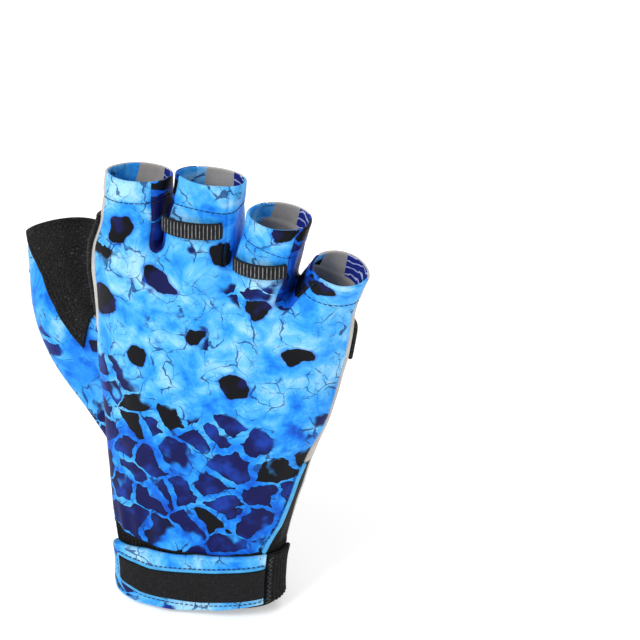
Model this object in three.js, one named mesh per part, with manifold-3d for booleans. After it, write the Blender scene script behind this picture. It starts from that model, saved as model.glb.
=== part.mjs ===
// A half-finger fishing glove for a right hand, standing worn-like with its fingers up.
// Lengths are millimetres. +Z runs from the wrist to the fingers, the back of the hand faces -Y,
// the thumb is towards -X and the little finger towards +X. The origin is the wrist opening's centre.
import * as THREE from "three";
import { mergeVertices } from "three/addons/utils/BufferGeometryUtils.js";
import ManifoldModule from "manifold-3d";

const wasm = await ManifoldModule();
wasm.setup();

// Driving sizes
const HALF_WIDTH = 50;
const BACK_DEPTH = 20;
const PALM_DEPTH = 20;
const WEB_HEIGHT = 150;
const CUFF_HEIGHT = 24;
const FINGER_WIDTH = 24;
const FINGER_DEPTH = 22;
const STALL_LENGTH = 28;
const THUMB_WIDTH = 27;
const THUMB_REACH = 71;
const THUMB_HEIGHT = 123.5;
const THUMB_FORWARD = 46;
const HAND_LEAN = 3.5;

// Fabric and clearances
const WALL = 1.2;
const SEAM = 0.45;
const LAYER_GAP = 0.3;
const PATCH_THICKNESS = 1.2;
const STRAP_THICKNESS = 2;
const PLATE_THICKNESS = 1;
const ELASTIC_THICKNESS = 1.5;
const LOOP_THICKNESS = 1.1;
const LOOP_WIDTH = 5;
const LOOP_RISE = 1.4;
const LOOP_CLEARANCE = 0.55;
const BINDING_RADIUS = 1.1;

// Flat sections from the wrist up: height as a share of WEB_HEIGHT, sides as shares of HALF_WIDTH,
// depths as shares of BACK_DEPTH and PALM_DEPTH. "lean" carries the thumb side towards the palm.
const FLAT_SECTIONS = [
  { height: 0.0, left: -0.64, right: 0.65, back: 0.8, palm: 0.93, lean: 0 },
  { height: 0.08, left: -0.64, right: 0.65, back: 0.8, palm: 0.93, lean: 0 },
  { height: 0.16, left: -0.67, right: 0.67, back: 0.8, palm: 0.93, lean: 0.02 },
  { height: 0.25, left: -0.72, right: 0.71, back: 0.82, palm: 0.96, lean: 0.15 },
  { height: 0.345, left: -0.79, right: 0.755, back: 0.85, palm: 1.0, lean: 0.4 },
];

// Sections that fan out to the webs: "rise" is the share of the way from the last flat section.
const FAN_SECTIONS = [
  { rise: 0.2, left: -0.84, right: 0.81, back: 0.88, palm: 1.0, lean: 0.55 },
  { rise: 0.4, left: -0.9, right: 0.89, back: 0.9, palm: 0.98, lean: 0.6 },
  { rise: 0.6, left: -0.93, right: 0.95, back: 0.9, palm: 0.93, lean: 0.45 },
  { rise: 0.8, left: -0.94, right: 0.99, back: 0.86, palm: 0.78, lean: 0.15 },
];

// The line where the fingers start: columns across the hand, x as a share of HALF_WIDTH, heights of
// WEB_HEIGHT, depths of BACK_DEPTH or PALM_DEPTH. Even columns are finger borders.
const WEB_LINE = [
  { back: { x: -0.92, y: -0.4, z: 0.953 }, palm: { x: -0.9, y: 0.4, z: 0.933 } },
  { back: { x: -0.72, y: -0.73, z: 0.973 }, palm: { x: -0.66, y: 0.63, z: 0.947 } },
  { back: { x: -0.45, y: -0.68, z: 0.99 }, palm: { x: -0.34, y: 0.48, z: 0.973 } },
  { back: { x: -0.19, y: -0.8, z: 0.993 }, palm: { x: -0.08, y: 0.63, z: 0.987 } },
  { back: { x: 0.09, y: -0.7, z: 0.978 }, palm: { x: 0.15, y: 0.45, z: 0.983 } },
  { back: { x: 0.29, y: -0.85, z: 0.94 }, palm: { x: 0.36, y: 0.55, z: 0.96 } },
  { back: { x: 0.49, y: -0.76, z: 0.897 }, palm: { x: 0.56, y: 0.35, z: 0.927 } },
  { back: { x: 0.74, y: -0.88, z: 0.873 }, palm: { x: 0.78, y: 0.35, z: 0.887 } },
  { back: { x: 0.96, y: -0.6, z: 0.86 }, palm: { x: 0.96, y: 0.15, z: 0.86 } },
];
const LEFT_END = { x: -0.96, y: 0, z: 0.94 };
const RIGHT_END = { x: 1.01, y: -0.24, z: 0.853 };
const WEBS = [
  { x: -0.39, y: -0.1, z: 1.0 },
  { x: 0.12, y: -0.12, z: 0.993 },
  { x: 0.53, y: -0.2, z: 0.92 },
];

// Finger openings: centre x as a share of HALF_WIDTH, y of BACK_DEPTH, and the rim's height above
// WEB_HEIGHT as a share of STALL_LENGTH. "pitch" and "roll" are the rim's slopes along y and x.
const FINGERS = [
  { x: -0.632, y: -0.15, rise: 0.88, width: 1.0, depth: 1.0, yaw: -20, pitch: -0.08, roll: 0.06 },
  { x: -0.112, y: -0.15, rise: 0.97, width: 1.05, depth: 1.0, yaw: -12, pitch: -0.11, roll: 0 },
  { x: 0.41, y: -0.325, rise: 0.62, width: 0.95, depth: 1.0, yaw: -10, pitch: 0.03, roll: -0.02 },
  { x: 0.884, y: -0.6, rise: 0.11, width: 0.85, depth: 0.92, yaw: 15, pitch: 0.185, roll: -0.12 },
];
const FINGER_ANGLES = [218, 270, 322, 0, 45, 90, 135, 180];
const FINGER_SIDES = ["back", "back", "right", "right", "palm", "palm", "left", "left"];
const FINGER_STEPS = [0.34, 0.68, 1];
const FINGER_WAIST = 0.07;

// The thumb's axis and the angles of its ten columns at the opening. Zero faces the index finger and
// a quarter turn on faces the palm.
const THUMB_AXIS = new THREE.Vector3(-0.33, 0.6, 0.73).normalize();
const THUMB_ANGLES = [310, 350, 15, 37, 60, 85, 112, 160, 215, 265];
const FIRST_PRINTED_COLUMN = 6;
const THUMB_PATCH_COLUMNS = [7, 8, 9, 0, 1];
const THUMB_STEPS = [0.34, 0.67, 1];
const THUMB_BEND = 0.3;
const THUMB_SWELL = 1.25;
const THUMB_BEND_SHIFT = { x: -0.3, z: -0.2 };

// Pull loops: the finger, the height above the webs as a share of STALL_LENGTH, and the angles in
// degrees where the loop starts and ends round the finger's back.
const LOOPS = [
  { name: "pull_loop_middle", finger: 1, rise: 0.36, from: 205, to: 325 },
  { name: "pull_loop_ring", finger: 2, rise: -0.04, from: 210, to: 325 },
];

// Creases pressed into the cloth: two ends as x of HALF_WIDTH, y of BACK_DEPTH or PALM_DEPTH and z of
// WEB_HEIGHT, and the width and depth as shares of FINGER_WIDTH.
const CREASES = [
  { ends: [[-0.38, -0.75, 1.0], [-0.26, -0.92, 0.8]], width: 0.3, depth: 0.06 },
  { ends: [[0.1, -0.8, 0.97], [0.14, -0.95, 0.78]], width: 0.3, depth: 0.06 },
  { ends: [[0.53, -0.8, 0.9], [0.46, -0.9, 0.74]], width: 0.3, depth: 0.06 },
  { ends: [[-0.76, 0.75, 0.56], [-0.71, 0.8, 0.3]], width: 0.2, depth: 0.06 },
  { ends: [[-0.83, 0.45, 0.68], [-0.8, 0.3, 0.5]], width: 0.16, depth: 0.045 },
  { ends: [[-0.95, 0.85, 0.6], [-0.98, 0.65, 0.45]], width: 0.18, depth: 0.04 },
  { ends: [[-0.5, 0.92, 0.71], [0.75, 0.8, 0.665]], width: 0.22, depth: 0.035 },
  { ends: [[0.84, -0.5, 0.5], [0.68, -0.75, 0.41]], width: 0.2, depth: 0.04 },
  { ends: [[-0.4, -0.8, 0.17], [-0.36, -0.9, 0.32]], width: 0.18, depth: 0.035 },
  { ends: [[0.04, -0.82, 0.17], [0.02, -0.92, 0.29]], width: 0.18, depth: 0.03 },
];

const FIRST_THUMB_ROW = FLAT_SECTIONS.length - 1;
const LAST_THUMB_ROW = FIRST_THUMB_ROW + 3;
const COLUMNS = WEB_LINE.length;
const RING = 2 * COLUMNS + 2;
const SLIT_ROWS = 5;

// How round the hand's sides are, how fast the lean towards the palm fades across the hand, and the
// shares of it that the back takes and that the palm's middle gives up
const SIDE_ROUNDNESS = 2.5;
const LEAN_FADE = 3;
const BACK_FOLLOW = 0.6;
const PALM_EASE = 0.5;

// Corners are cut back along their edges by no more than the inset over this
const MITRE_LIMIT = 0.35;
const LOOP_STEPS = 12;
const BINDING_STEPS = 12;
const BINDING_SIDES = 8;

const mix = (a, b, t) => a + (b - a) * t;
const radians = THREE.MathUtils.degToRad;

// Tilts the hand towards the little finger above the cuff.
function lean(p) {
  const aboveCuff = new THREE.Vector2(p.x, p.z - CUFF_HEIGHT);
  const turned = aboveCuff.rotateAround(new THREE.Vector2(), -radians(HAND_LEAN));
  const share = THREE.MathUtils.smoothstep(p.z, CUFF_HEIGHT, 2 * CUFF_HEIGHT);
  p.x = mix(p.x, turned.x, share);
  p.z = mix(p.z, turned.y + CUFF_HEIGHT, share);
}

// A share row at a web column in millimetres.
function place(share) {
  const depth = share.y < 0 ? BACK_DEPTH : PALM_DEPTH;
  return new THREE.Vector3(share.x * HALF_WIDTH, share.y * depth, share.z * WEB_HEIGHT);
}

// Ring index of a column: the left side, the back's columns, the right side, the palm's columns.
const LEFT = 0;
const RIGHT = COLUMNS + 1;
const backIndex = (column) => 1 + column;
const palmIndex = (column) => RING - 1 - column;

// The top ring, where the fingers start.
function webRing() {
  const ring = new Array(RING);
  ring[LEFT] = place(LEFT_END);
  ring[RIGHT] = place(RIGHT_END);
  WEB_LINE.forEach((row, column) => {
    ring[backIndex(column)] = place(row.back);
    ring[palmIndex(column)] = place(row.palm);
  });
  return ring;
}

// One palm section. "spread" blends the columns from evenly spaced angles to the web line's places.
function palmRing(section, heightAt, spread, top) {
  const middle = ((section.left + section.right) / 2) * HALF_WIDTH;
  const half = ((section.right - section.left) / 2) * HALF_WIDTH;
  const topLeft = top[LEFT].x;
  const topHalf = (top[RIGHT].x - topLeft) / 2;
  return top.map((end, index) => {
    const angle = Math.PI - (index / RING) * 2 * Math.PI;
    const even = Math.cos(angle);
    const goal = THREE.MathUtils.clamp((end.x - topLeft) / topHalf - 1, -1, 1);
    const share = mix(even, goal, spread);
    const round = Math.pow(Math.max(0, 1 - Math.pow(Math.abs(share), SIDE_ROUNDNESS)), 1 / SIDE_ROUNDNESS);
    const isBack = index > LEFT && index < RIGHT;
    const depth = isBack ? -section.back * BACK_DEPTH : section.palm * PALM_DEPTH;
    const nearThumb = Math.pow(Math.max(0, -share), LEAN_FADE);
    const forward = section.lean * PALM_DEPTH * nearThumb;
    const y = depth * round + forward * (isBack ? BACK_FOLLOW : 1 - PALM_EASE * round);
    return new THREE.Vector3(middle + half * share, y, heightAt(index));
  });
}

// All the palm's rings, from the wrist to the webs.
function palmRings() {
  const top = webRing();
  const lastFlat = FLAT_SECTIONS[FLAT_SECTIONS.length - 1].height * WEB_HEIGHT;
  const flat = FLAT_SECTIONS.map((s) => palmRing(s, () => s.height * WEB_HEIGHT, 0, top));
  const fan = FAN_SECTIONS.map((s) =>
    palmRing(s, (index) => mix(lastFlat, top[index].z, s.rise), s.rise, top),
  );
  return [...flat, ...fan, top];
}

// The opening of one finger as eight points.
function fingerRim(finger) {
  const yaw = radians(finger.yaw);
  const centre = new THREE.Vector3(
    finger.x * HALF_WIDTH,
    finger.y * BACK_DEPTH,
    WEB_HEIGHT + finger.rise * STALL_LENGTH,
  );
  return FINGER_ANGLES.map((degrees) => {
    const angle = radians(degrees);
    const across = (Math.cos(angle) * finger.width * FINGER_WIDTH) / 2;
    const deep = (Math.sin(angle) * finger.depth * FINGER_DEPTH) / 2;
    const x = across * Math.cos(yaw) - deep * Math.sin(yaw);
    const y = across * Math.sin(yaw) + deep * Math.cos(yaw);
    return new THREE.Vector3(x, y, x * finger.roll + y * finger.pitch).add(centre);
  });
}

const thumbCentre = new THREE.Vector3(-THUMB_REACH, THUMB_FORWARD, THUMB_HEIGHT);
const thumbInner = new THREE.Vector3(1, 0, 0)
  .addScaledVector(THUMB_AXIS, -THUMB_AXIS.x)
  .normalize();
const thumbPalm = new THREE.Vector3().crossVectors(THUMB_AXIS, thumbInner);

// The opening of the thumb as ten points.
function thumbRim() {
  return THUMB_ANGLES.map((degrees) => {
    const angle = radians(degrees);
    return thumbCentre
      .clone()
      .addScaledVector(thumbInner, (Math.cos(angle) * THUMB_WIDTH) / 2)
      .addScaledVector(thumbPalm, (Math.sin(angle) * THUMB_WIDTH) / 2);
  });
}

// Looks: colour, roughness
const printed = { color: 0x1f8df2, roughness: 0.55 };
const suede = { color: 0xbebab5, roughness: 0.9 };
const pebbled = { color: 0x1c1b1b, roughness: 0.75 };
const knit = { color: 0x141414, roughness: 0.85 };
const plain = { color: 0x161616, roughness: 0.7 };
const bound = { color: 0x3db9ea, roughness: 0.5 };

const PANELS = {
  BACK: "back_panel",
  PALM: "palm_panel",
  FOURCHETTES: ["fourchette_index_middle", "fourchette_middle_ring", "fourchette_ring_little"],
};

// The panel of a finger's column: the strips between two fingers take both their facing sides.
function fingerPanel(finger, side) {
  if (side === "back") return PANELS.BACK;
  const strip = side === "right" ? finger : finger - 1;
  return (side !== "palm" && PANELS.FOURCHETTES[strip]) || PANELS.PALM;
}

// The control cage: the points the finished surface passes through and labelled four-sided faces.
function buildCage() {
  const points = [];
  const faces = [];
  const add = (p) => points.push(p.clone()) - 1;
  const face = (corners, panel, part, row, column) => faces.push({ corners, panel, part, row, column });

  const rings = palmRings().map((ring) => ring.map(add));
  const topRow = rings.length - 1;
  for (let row = 0; row < topRow; row++) {
    for (let i = 0; i < RING; i++) {
      const next = (i + 1) % RING;
      const thumbRow = row >= FIRST_THUMB_ROW && row < LAST_THUMB_ROW;
      if (thumbRow && (i === RING - 1 || i === RING - 2)) continue;
      const onBack = i > LEFT && (i < RIGHT - 1 || (i === RIGHT - 1 && row < SLIT_ROWS));
      const radialBack = i === LEFT && row < LAST_THUMB_ROW;
      const turnsToThumb = i === RING - 1 && row === FIRST_THUMB_ROW - 1;
      const panel = onBack || radialBack || turnsToThumb ? PANELS.BACK : PANELS.PALM;
      const [low, high] = [rings[row], rings[row + 1]];
      face([low[i], low[next], high[next], high[i]], panel, "palm", row, i);
    }
  }

  const top = rings[topRow];
  const webs = WEBS.map((w) => add(place(w)));
  FINGERS.forEach((finger, n) => {
    const side = (web, end) => (web >= 0 && web < webs.length ? webs[web] : end);
    const base = [
      top[backIndex(2 * n)],
      top[backIndex(2 * n + 1)],
      top[backIndex(2 * n + 2)],
      side(n, top[RIGHT]),
      top[palmIndex(2 * n + 2)],
      top[palmIndex(2 * n + 1)],
      top[palmIndex(2 * n)],
      side(n - 1, top[LEFT]),
    ];
    const rim = fingerRim(finger);
    let low = base;
    FINGER_STEPS.forEach((t, row) => {
      const middle = new THREE.Vector3();
      const level = base.map((index, k) => points[index].clone().lerp(rim[k], t));
      level.forEach((p) => middle.addScaledVector(p, 1 / level.length));
      const waist = FINGER_WAIST * Math.sin(Math.PI * t);
      const high = level.map((p) => {
        const z = p.z;
        p.lerp(middle, waist);
        p.z = z;
        return add(p);
      });
      FINGER_SIDES.forEach((name, k) => {
        const next = (k + 1) % FINGER_SIDES.length;
        face([low[k], low[next], high[next], high[k]], fingerPanel(n, name), "finger" + n, row, k);
      });
      low = high;
    });
  });

  const [bottom, topThumb] = [rings[FIRST_THUMB_ROW], rings[LAST_THUMB_ROW]];
  const [P0, P1] = [palmIndex(0), palmIndex(1)];
  const base = [
    topThumb[LEFT],
    topThumb[P0],
    topThumb[P1],
    rings[LAST_THUMB_ROW - 1][P1],
    rings[FIRST_THUMB_ROW + 1][P1],
    bottom[P1],
    bottom[P0],
    bottom[LEFT],
    rings[FIRST_THUMB_ROW + 1][LEFT],
    rings[LAST_THUMB_ROW - 1][LEFT],
  ];
  const rim = thumbRim();
  const bend = thumbCentre.clone().addScaledVector(THUMB_AXIS, -THUMB_BEND * THUMB_HEIGHT);
  bend.x += THUMB_BEND_SHIFT.x * THUMB_WIDTH;
  bend.z += THUMB_BEND_SHIFT.z * THUMB_WIDTH;
  let low = base;
  THUMB_STEPS.forEach((t, row) => {
    const high = base.map((index, k) => {
      const turn = rim[k].clone().sub(thumbCentre).multiplyScalar(THUMB_SWELL).add(bend);
      const first = points[index].clone().lerp(turn, t);
      return add(first.lerp(turn.lerp(rim[k], t), t));
    });
    for (let k = 0; k < base.length; k++) {
      const next = (k + 1) % base.length;
      const panel = k >= FIRST_PRINTED_COLUMN ? PANELS.BACK : PANELS.PALM;
      face([low[k], low[next], high[next], high[k]], panel, "thumb", row, k);
    }
    low = high;
  });
  points.forEach(lean);
  return { points, faces };
}

const edgeKey = (a, b) => (a < b ? a + "_" + b : b + "_" + a);

// Neighbours of each vertex, and the edges with the faces on them.
function topology(mesh) {
  const edges = new Map();
  const around = mesh.points.map(() => ({ faces: [], edges: new Set() }));
  mesh.faces.forEach((f, index) => {
    f.corners.forEach((a, k) => {
      const b = f.corners[(k + 1) % 4];
      const key = edgeKey(a, b);
      if (!edges.has(key)) edges.set(key, { ends: [a, b], faces: [] });
      edges.get(key).faces.push(index);
      around[a].faces.push(index);
      around[a].edges.add(key);
      around[b].edges.add(key);
    });
  });
  return { edges, around };
}

const average = (list) =>
  list.reduce((sum, p) => sum.add(p), new THREE.Vector3()).multiplyScalar(1 / list.length);

// One round of Catmull-Clark subdivision. Open edges become cubic curves.
function subdivide(mesh) {
  const { edges, around } = topology(mesh);
  const facePoints = mesh.faces.map((f) => average(f.corners.map((c) => mesh.points[c])));
  const points = mesh.points.map((p, index) => {
    const rim = [...around[index].edges].map((k) => edges.get(k)).filter((e) => e.faces.length === 1);
    if (rim.length) {
      const others = rim.map((e) => mesh.points[e.ends[0] === index ? e.ends[1] : e.ends[0]]);
      return p.clone().multiplyScalar(6).add(others[0]).add(others[1]).multiplyScalar(1 / 8);
    }
    const n = around[index].faces.length;
    const q = average(around[index].faces.map((f) => facePoints[f]));
    const middles = [...around[index].edges].map((k) => {
      const [a, b] = edges.get(k).ends;
      return mesh.points[a].clone().add(mesh.points[b]).multiplyScalar(0.5);
    });
    const r = average(middles);
    return q.addScaledVector(r, 2).addScaledVector(p, n - 3).multiplyScalar(1 / n);
  });
  const facesAt = points.length;
  facePoints.forEach((p) => points.push(p));
  const edgeAt = new Map();
  edges.forEach((e, key) => {
    const p = mesh.points[e.ends[0]].clone().add(mesh.points[e.ends[1]]);
    if (e.faces.length === 2) p.add(facePoints[e.faces[0]]).add(facePoints[e.faces[1]]).multiplyScalar(0.25);
    else p.multiplyScalar(0.5);
    edgeAt.set(key, points.push(p) - 1);
  });
  const faces = [];
  mesh.faces.forEach((f, index) => {
    f.corners.forEach((corner, k) => {
      const after = edgeAt.get(edgeKey(corner, f.corners[(k + 1) % 4]));
      const before = edgeAt.get(edgeKey(corner, f.corners[(k + 3) % 4]));
      faces.push({ ...f, corners: [corner, after, facesAt + index, before] });
    });
  });
  return { points, faces };
}

// Where each vertex ends on the finished smooth surface.
function limitPoints(mesh, { edges, around }) {
  return mesh.points.map((p, index) => {
    const own = [...around[index].edges].map((k) => edges.get(k));
    const rim = own.filter((e) => e.faces.length === 1);
    const other = (e) => mesh.points[e.ends[0] === index ? e.ends[1] : e.ends[0]];
    if (rim.length) {
      return p.clone().multiplyScalar(4).add(other(rim[0])).add(other(rim[1])).multiplyScalar(1 / 6);
    }
    const n = own.length;
    const sum = p.clone().multiplyScalar(n * n);
    own.forEach((e) => sum.addScaledVector(other(e), 4));
    around[index].faces.forEach((f) => {
      const corners = mesh.faces[f].corners;
      sum.add(mesh.points[corners[(corners.indexOf(index) + 2) % 4]]);
    });
    return sum.multiplyScalar(1 / (n * (n + 5)));
  });
}

const FIT_ROUNDS = 14;

// Moves the cage so that its smooth surface passes through the cage's own first points.
function fitCage(cage) {
  const goals = cage.points.map((p) => p.clone());
  const links = topology(cage);
  for (let round = 0; round < FIT_ROUNDS; round++) {
    const reached = limitPoints(cage, links);
    cage.points.forEach((p, index) => p.add(goals[index]).sub(reached[index]));
  }
  return cage;
}

// Unit normals at the vertices.
function vertexNormals(points, faces) {
  const normals = points.map(() => new THREE.Vector3());
  for (const f of faces) {
    const [a, b, c, d] = f.corners.map((i) => points[i]);
    const normal = c.clone().sub(a).cross(d.clone().sub(b));
    f.corners.forEach((i) => normals[i].add(normal));
  }
  normals.forEach((n) => n.normalize());
  return normals;
}

// Presses the creases into the surface: deepest on their lines, fading away to both sides.
function pressCreases(points, normals) {
  for (const { ends, width, depth } of CREASES) {
    const line = new THREE.Line3(...ends.map(([x, y, z]) => place({ x, y, z })));
    lean(line.start);
    lean(line.end);
    points.forEach((p, index) => {
      const away = p.distanceTo(line.closestPointToPoint(p, true, new THREE.Vector3()));
      const share = Math.exp(-Math.pow(away / (width * FINGER_WIDTH), 2));
      p.addScaledVector(normals[index], -share * depth * FINGER_WIDTH);
    });
  }
}

// The finished surface at one subdivision, with a unit normal at each vertex.
function smoothSurface() {
  const mesh = subdivide(fitCage(buildCage()));
  const points = limitPoints(mesh, topology(mesh));
  pressCreases(points, vertexNormals(points, mesh.faces));
  return { points, faces: mesh.faces, normals: vertexNormals(points, mesh.faces) };
}

const surface = smoothSurface();

// A closed sheet over chosen faces, between two heights above the surface. "inset" pulls its open
// edges back along the surface.
function sheet(faces, low, high, inset) {
  const edges = new Map();
  for (const f of faces) {
    f.corners.forEach((a, k) => {
      const b = f.corners[(k + 1) % 4];
      const key = edgeKey(a, b);
      if (edges.has(key)) edges.delete(key);
      else edges.set(key, [a, b]);
    });
  }
  const pull = new Map();
  for (const [a, b] of edges.values()) {
    for (const index of [a, b]) {
      const along = surface.points[b].clone().sub(surface.points[a]).normalize();
      const inward = surface.normals[index].clone().cross(along).normalize();
      pull.set(index, [...(pull.get(index) ?? []), inward]);
    }
  }
  const mitre = ([one, two = one]) =>
    one.clone().add(two).divideScalar(Math.max(MITRE_LIMIT, 1 + one.dot(two)));
  const ids = new Map();
  const positions = [];
  const corner = (index, height) => {
    const key = index + ":" + height;
    if (!ids.has(key)) {
      const p = surface.points[index].clone().addScaledVector(surface.normals[index], height);
      if (inset && pull.has(index)) p.addScaledVector(mitre(pull.get(index)), inset);
      ids.set(key, positions.push(p) - 1);
    }
    return ids.get(key);
  };
  const triangles = [];
  const quad = (a, b, c, d) => triangles.push([a, b, c], [a, c, d]);
  for (const f of faces) {
    const [a, b, c, d] = f.corners;
    const turn =
      surface.points[a].distanceTo(surface.points[c]) > surface.points[b].distanceTo(surface.points[d]);
    const order = turn ? [b, c, d, a] : [a, b, c, d];
    const up = order.map((i) => corner(i, high));
    const down = order.map((i) => corner(i, low));
    quad(...up);
    triangles.push([down[0], down[2], down[1]], [down[0], down[3], down[2]]);
  }
  for (const [a, b] of edges.values()) {
    quad(corner(a, low), corner(b, low), corner(b, high), corner(a, high));
  }
  const geometry = new THREE.BufferGeometry().setFromPoints(positions);
  geometry.setIndex(triangles.flat());
  return solid(geometry);
}

// A geometry as a solid that can be joined and cut.
function solid(geometry) {
  const bare = new THREE.BufferGeometry();
  bare.setAttribute("position", geometry.getAttribute("position"));
  if (geometry.index) bare.setIndex(geometry.index);
  const merged = mergeVertices(bare, 1e-4);
  return new wasm.Manifold(
    new wasm.Mesh({
      numProp: 3,
      vertProperties: new Float32Array(merged.attributes.position.array),
      triVerts: new Uint32Array(merged.index.array),
    }),
  );
}

const facesOf = (test) => surface.faces.filter(test);
const FAR = 4 * HALF_WIDTH;

// A block with an outline drawn in X and Z, between two depths along Y.
function prism(outline, nearY, farY) {
  const shape = new THREE.Shape(outline.map(([x, z]) => new THREE.Vector2(x, z)));
  const geometry = new THREE.ExtrudeGeometry(shape, { depth: farY - nearY, bevelEnabled: false });
  geometry.rotateX(Math.PI / 2).translate(0, farY, 0);
  return solid(geometry);
}

// Where a line from a point first meets the surface, seen from outside.
function hit(from, direction, faces) {
  const ray = new THREE.Ray(from, direction);
  let best = null;
  for (const f of faces) {
    const [a, b, c, d] = f.corners.map((i) => surface.points[i]);
    for (const corners of [
      [a, b, c],
      [a, c, d],
    ]) {
      const p = ray.intersectTriangle(...corners, false, new THREE.Vector3());
      if (p && (!best || p.distanceTo(from) < best.distanceTo(from))) best = p;
    }
  }
  return best;
}

// A closed bar along a path. Each station has its place and two directions for the profile's axes.
function sweep(stations, profile) {
  const rings = stations.map((s) =>
    profile.map(([a, b]) => s.at.clone().addScaledVector(s.out, a).addScaledVector(s.side, b)),
  );
  const n = profile.length;
  const triangles = [];
  for (let k = 0; k < rings.length - 1; k++) {
    for (let i = 0; i < n; i++) {
      const [a, b] = [k * n + i, k * n + ((i + 1) % n)];
      triangles.push([a, b, b + n], [a, b + n, a + n]);
    }
  }
  const last = (rings.length - 1) * n;
  for (let i = 1; i < n - 1; i++) {
    triangles.push([0, i + 1, i], [last, last + i, last + i + 1]);
  }
  const geometry = new THREE.BufferGeometry().setFromPoints(rings.flat());
  geometry.setIndex(triangles.flat());
  const made = solid(geometry);
  return made.volume() < 0 ? solid(geometry.setIndex(triangles.map((t) => [...t].reverse()).flat())) : made;
}

const handPoint = ([across, up]) => [across * HALF_WIDTH, up * WEB_HEIGHT];
const cuffPoint = ([across, up]) => [across * HALF_WIDTH, up * CUFF_HEIGHT];

// Edges drawn as shares across HALF_WIDTH and up CUFF_HEIGHT, from the thumb side
const BACK_HEM = [
  [-2, 1.32],
  [-0.66, 1.3],
  [-0.52, 1.13],
  [-0.3, 1.04],
  [0.05, 1.02],
  [0.3, 1.04],
  [0.55, 1.1],
  [2, 1.1],
];
const PALM_HEM = [
  [-2, 1.1],
  [-0.66, 1.05],
  [-0.3, 0.94],
  [0.2, 0.94],
  [0.66, 1.1],
  [2, 1.1],
];
const STRAP_OUTLINE = [
  [-0.9, 0.03],
  [-0.45, -0.07],
  [-0.17, -0.06],
  [0.18, 0],
  [0.42, 0.08],
  [0.545, 0.11],
  [0.545, 1.06],
  [0.28, 1.05],
  [-0.03, 1.01],
  [-0.34, 0.99],
  [-0.62, 0.92],
  [-0.9, 0.8],
];
const PLATE_OUTLINE = [
  [-0.54, 0.27],
  [-0.4, 0.19],
  [0.07, 0.17],
  [0.53, 0.27],
  [0.53, 0.83],
  [0.05, 0.74],
  [-0.33, 0.68],
  [-0.6, 0.75],
];
const ELASTIC_OUTLINE = [
  [0.56, 0.11],
  [0.9, 0.06],
  [0.9, 1],
  [0.56, 1.06],
];

// Edges drawn as shares across HALF_WIDTH and up WEB_HEIGHT
const SLIT_LINE = [
  [0.82, 0.415],
  [0.765, 0.375],
  [0.71, 0.315],
  [0.655, 0.265],
  [0.58, 0.215],
  [0.565, 0.18],
];
const BAND_OUTLINE = [
  [-0.43, 0.775],
  [-0.4, 0.745],
  [0.64, 0.685],
  [0.95, 0.7],
  [1.2, 0.76],
  [1.2, 0.83],
  [0.96, 0.85],
  [0.5, 0.875],
  [-0.24, 0.905],
  [-0.34, 0.88],
  [-0.42, 0.82],
];
const HEEL_OUTLINE = [
  [-0.13, 0.175],
  [-0.06, 0.165],
  [0.33, 0.165],
  [0.37, 0.175],
  [0.37, 0.31],
  [0.42, 0.32],
  [0.46, 0.31],
  [0.46, 0.185],
  [0.58, 0.2],
  [0.72, 0.33],
  [0.78, 0.46],
  [0.8, 0.6],
  [0.76, 0.625],
  [0.3, 0.655],
  [-0.28, 0.7],
  [-0.36, 0.69],
  [-0.64, 0.545],
  [-0.63, 0.52],
];
const INDEX_SIDE_OUTLINE = [
  [-0.61, 1.03],
  [-0.6, 0.68],
  [-0.7, 0.66],
  [-0.78, 0.69],
  [-2, 0.69],
  [-2, 1.045],
  [-0.63, 1.045],
];
const THUMB_OUTLINE = [
  [-1.62, 1],
  [-1.5, 0.855],
  [-1.36, 0.76],
  [-1.24, 0.7],
  [-1.13, 0.66],
  [-0.96, 0.625],
  [-0.98, 0.7],
  [-0.94, 0.725],
  [-0.7, 0.735],
  [-0.7, 1],
];

const below = (edge) => [[2 * HALF_WIDTH, -FAR], ...edge.map(cuffPoint).reverse(), [-2 * HALF_WIDTH, -FAR]];
const lowered = (edge, by) => edge.map(([across, up]) => [across, up - by / CUFF_HEIGHT]);

const isPanel = (name) => (f) => f.panel === name;
const wristFace = (f) => f.part === "palm" && f.row < FIRST_THUMB_ROW;
const wristBack = (f) => wristFace(f) && f.column < RIGHT;
const slitSide = (f) => f.part === "palm" && f.row <= SLIT_ROWS && f.column <= RIGHT;
const slitFace = (f) => slitSide(f) && f.panel === PANELS.BACK;
const palmSide = (f) => f.panel === PANELS.PALM && f.part === "palm";
const indexSide = (f) =>
  f.panel === PANELS.PALM && (f.part === "finger0" || (f.part === "palm" && f.row >= LAST_THUMB_ROW));
const thumbBack = (f) =>
  (f.part === "thumb" && THUMB_PATCH_COLUMNS.includes(f.column)) ||
  (f.part === "palm" && f.column === LEFT && f.row >= FIRST_THUMB_ROW && f.row < LAST_THUMB_ROW);
const layer = (test, lift, thickness) => sheet(facesOf(test), lift, lift + thickness, SEAM / 2);

const root = new THREE.Group();
root.name = "fishing_glove";
const groups = {};
for (const name of ["panels", "patches", "cuff", "loops"]) {
  groups[name] = new THREE.Group();
  groups[name].name = name;
  root.add(groups[name]);
}

function addNode(group, name, look, body) {
  const data = body.getMesh();
  const geometry = new THREE.BufferGeometry();
  geometry.setAttribute("position", new THREE.BufferAttribute(data.vertProperties, data.numProp));
  geometry.setIndex(new THREE.BufferAttribute(data.triVerts, 1));
  const mesh = new THREE.Mesh(geometry, new THREE.MeshStandardMaterial({ ...look, metalness: 0 }));
  mesh.name = name;
  groups[group].add(mesh);
}

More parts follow.
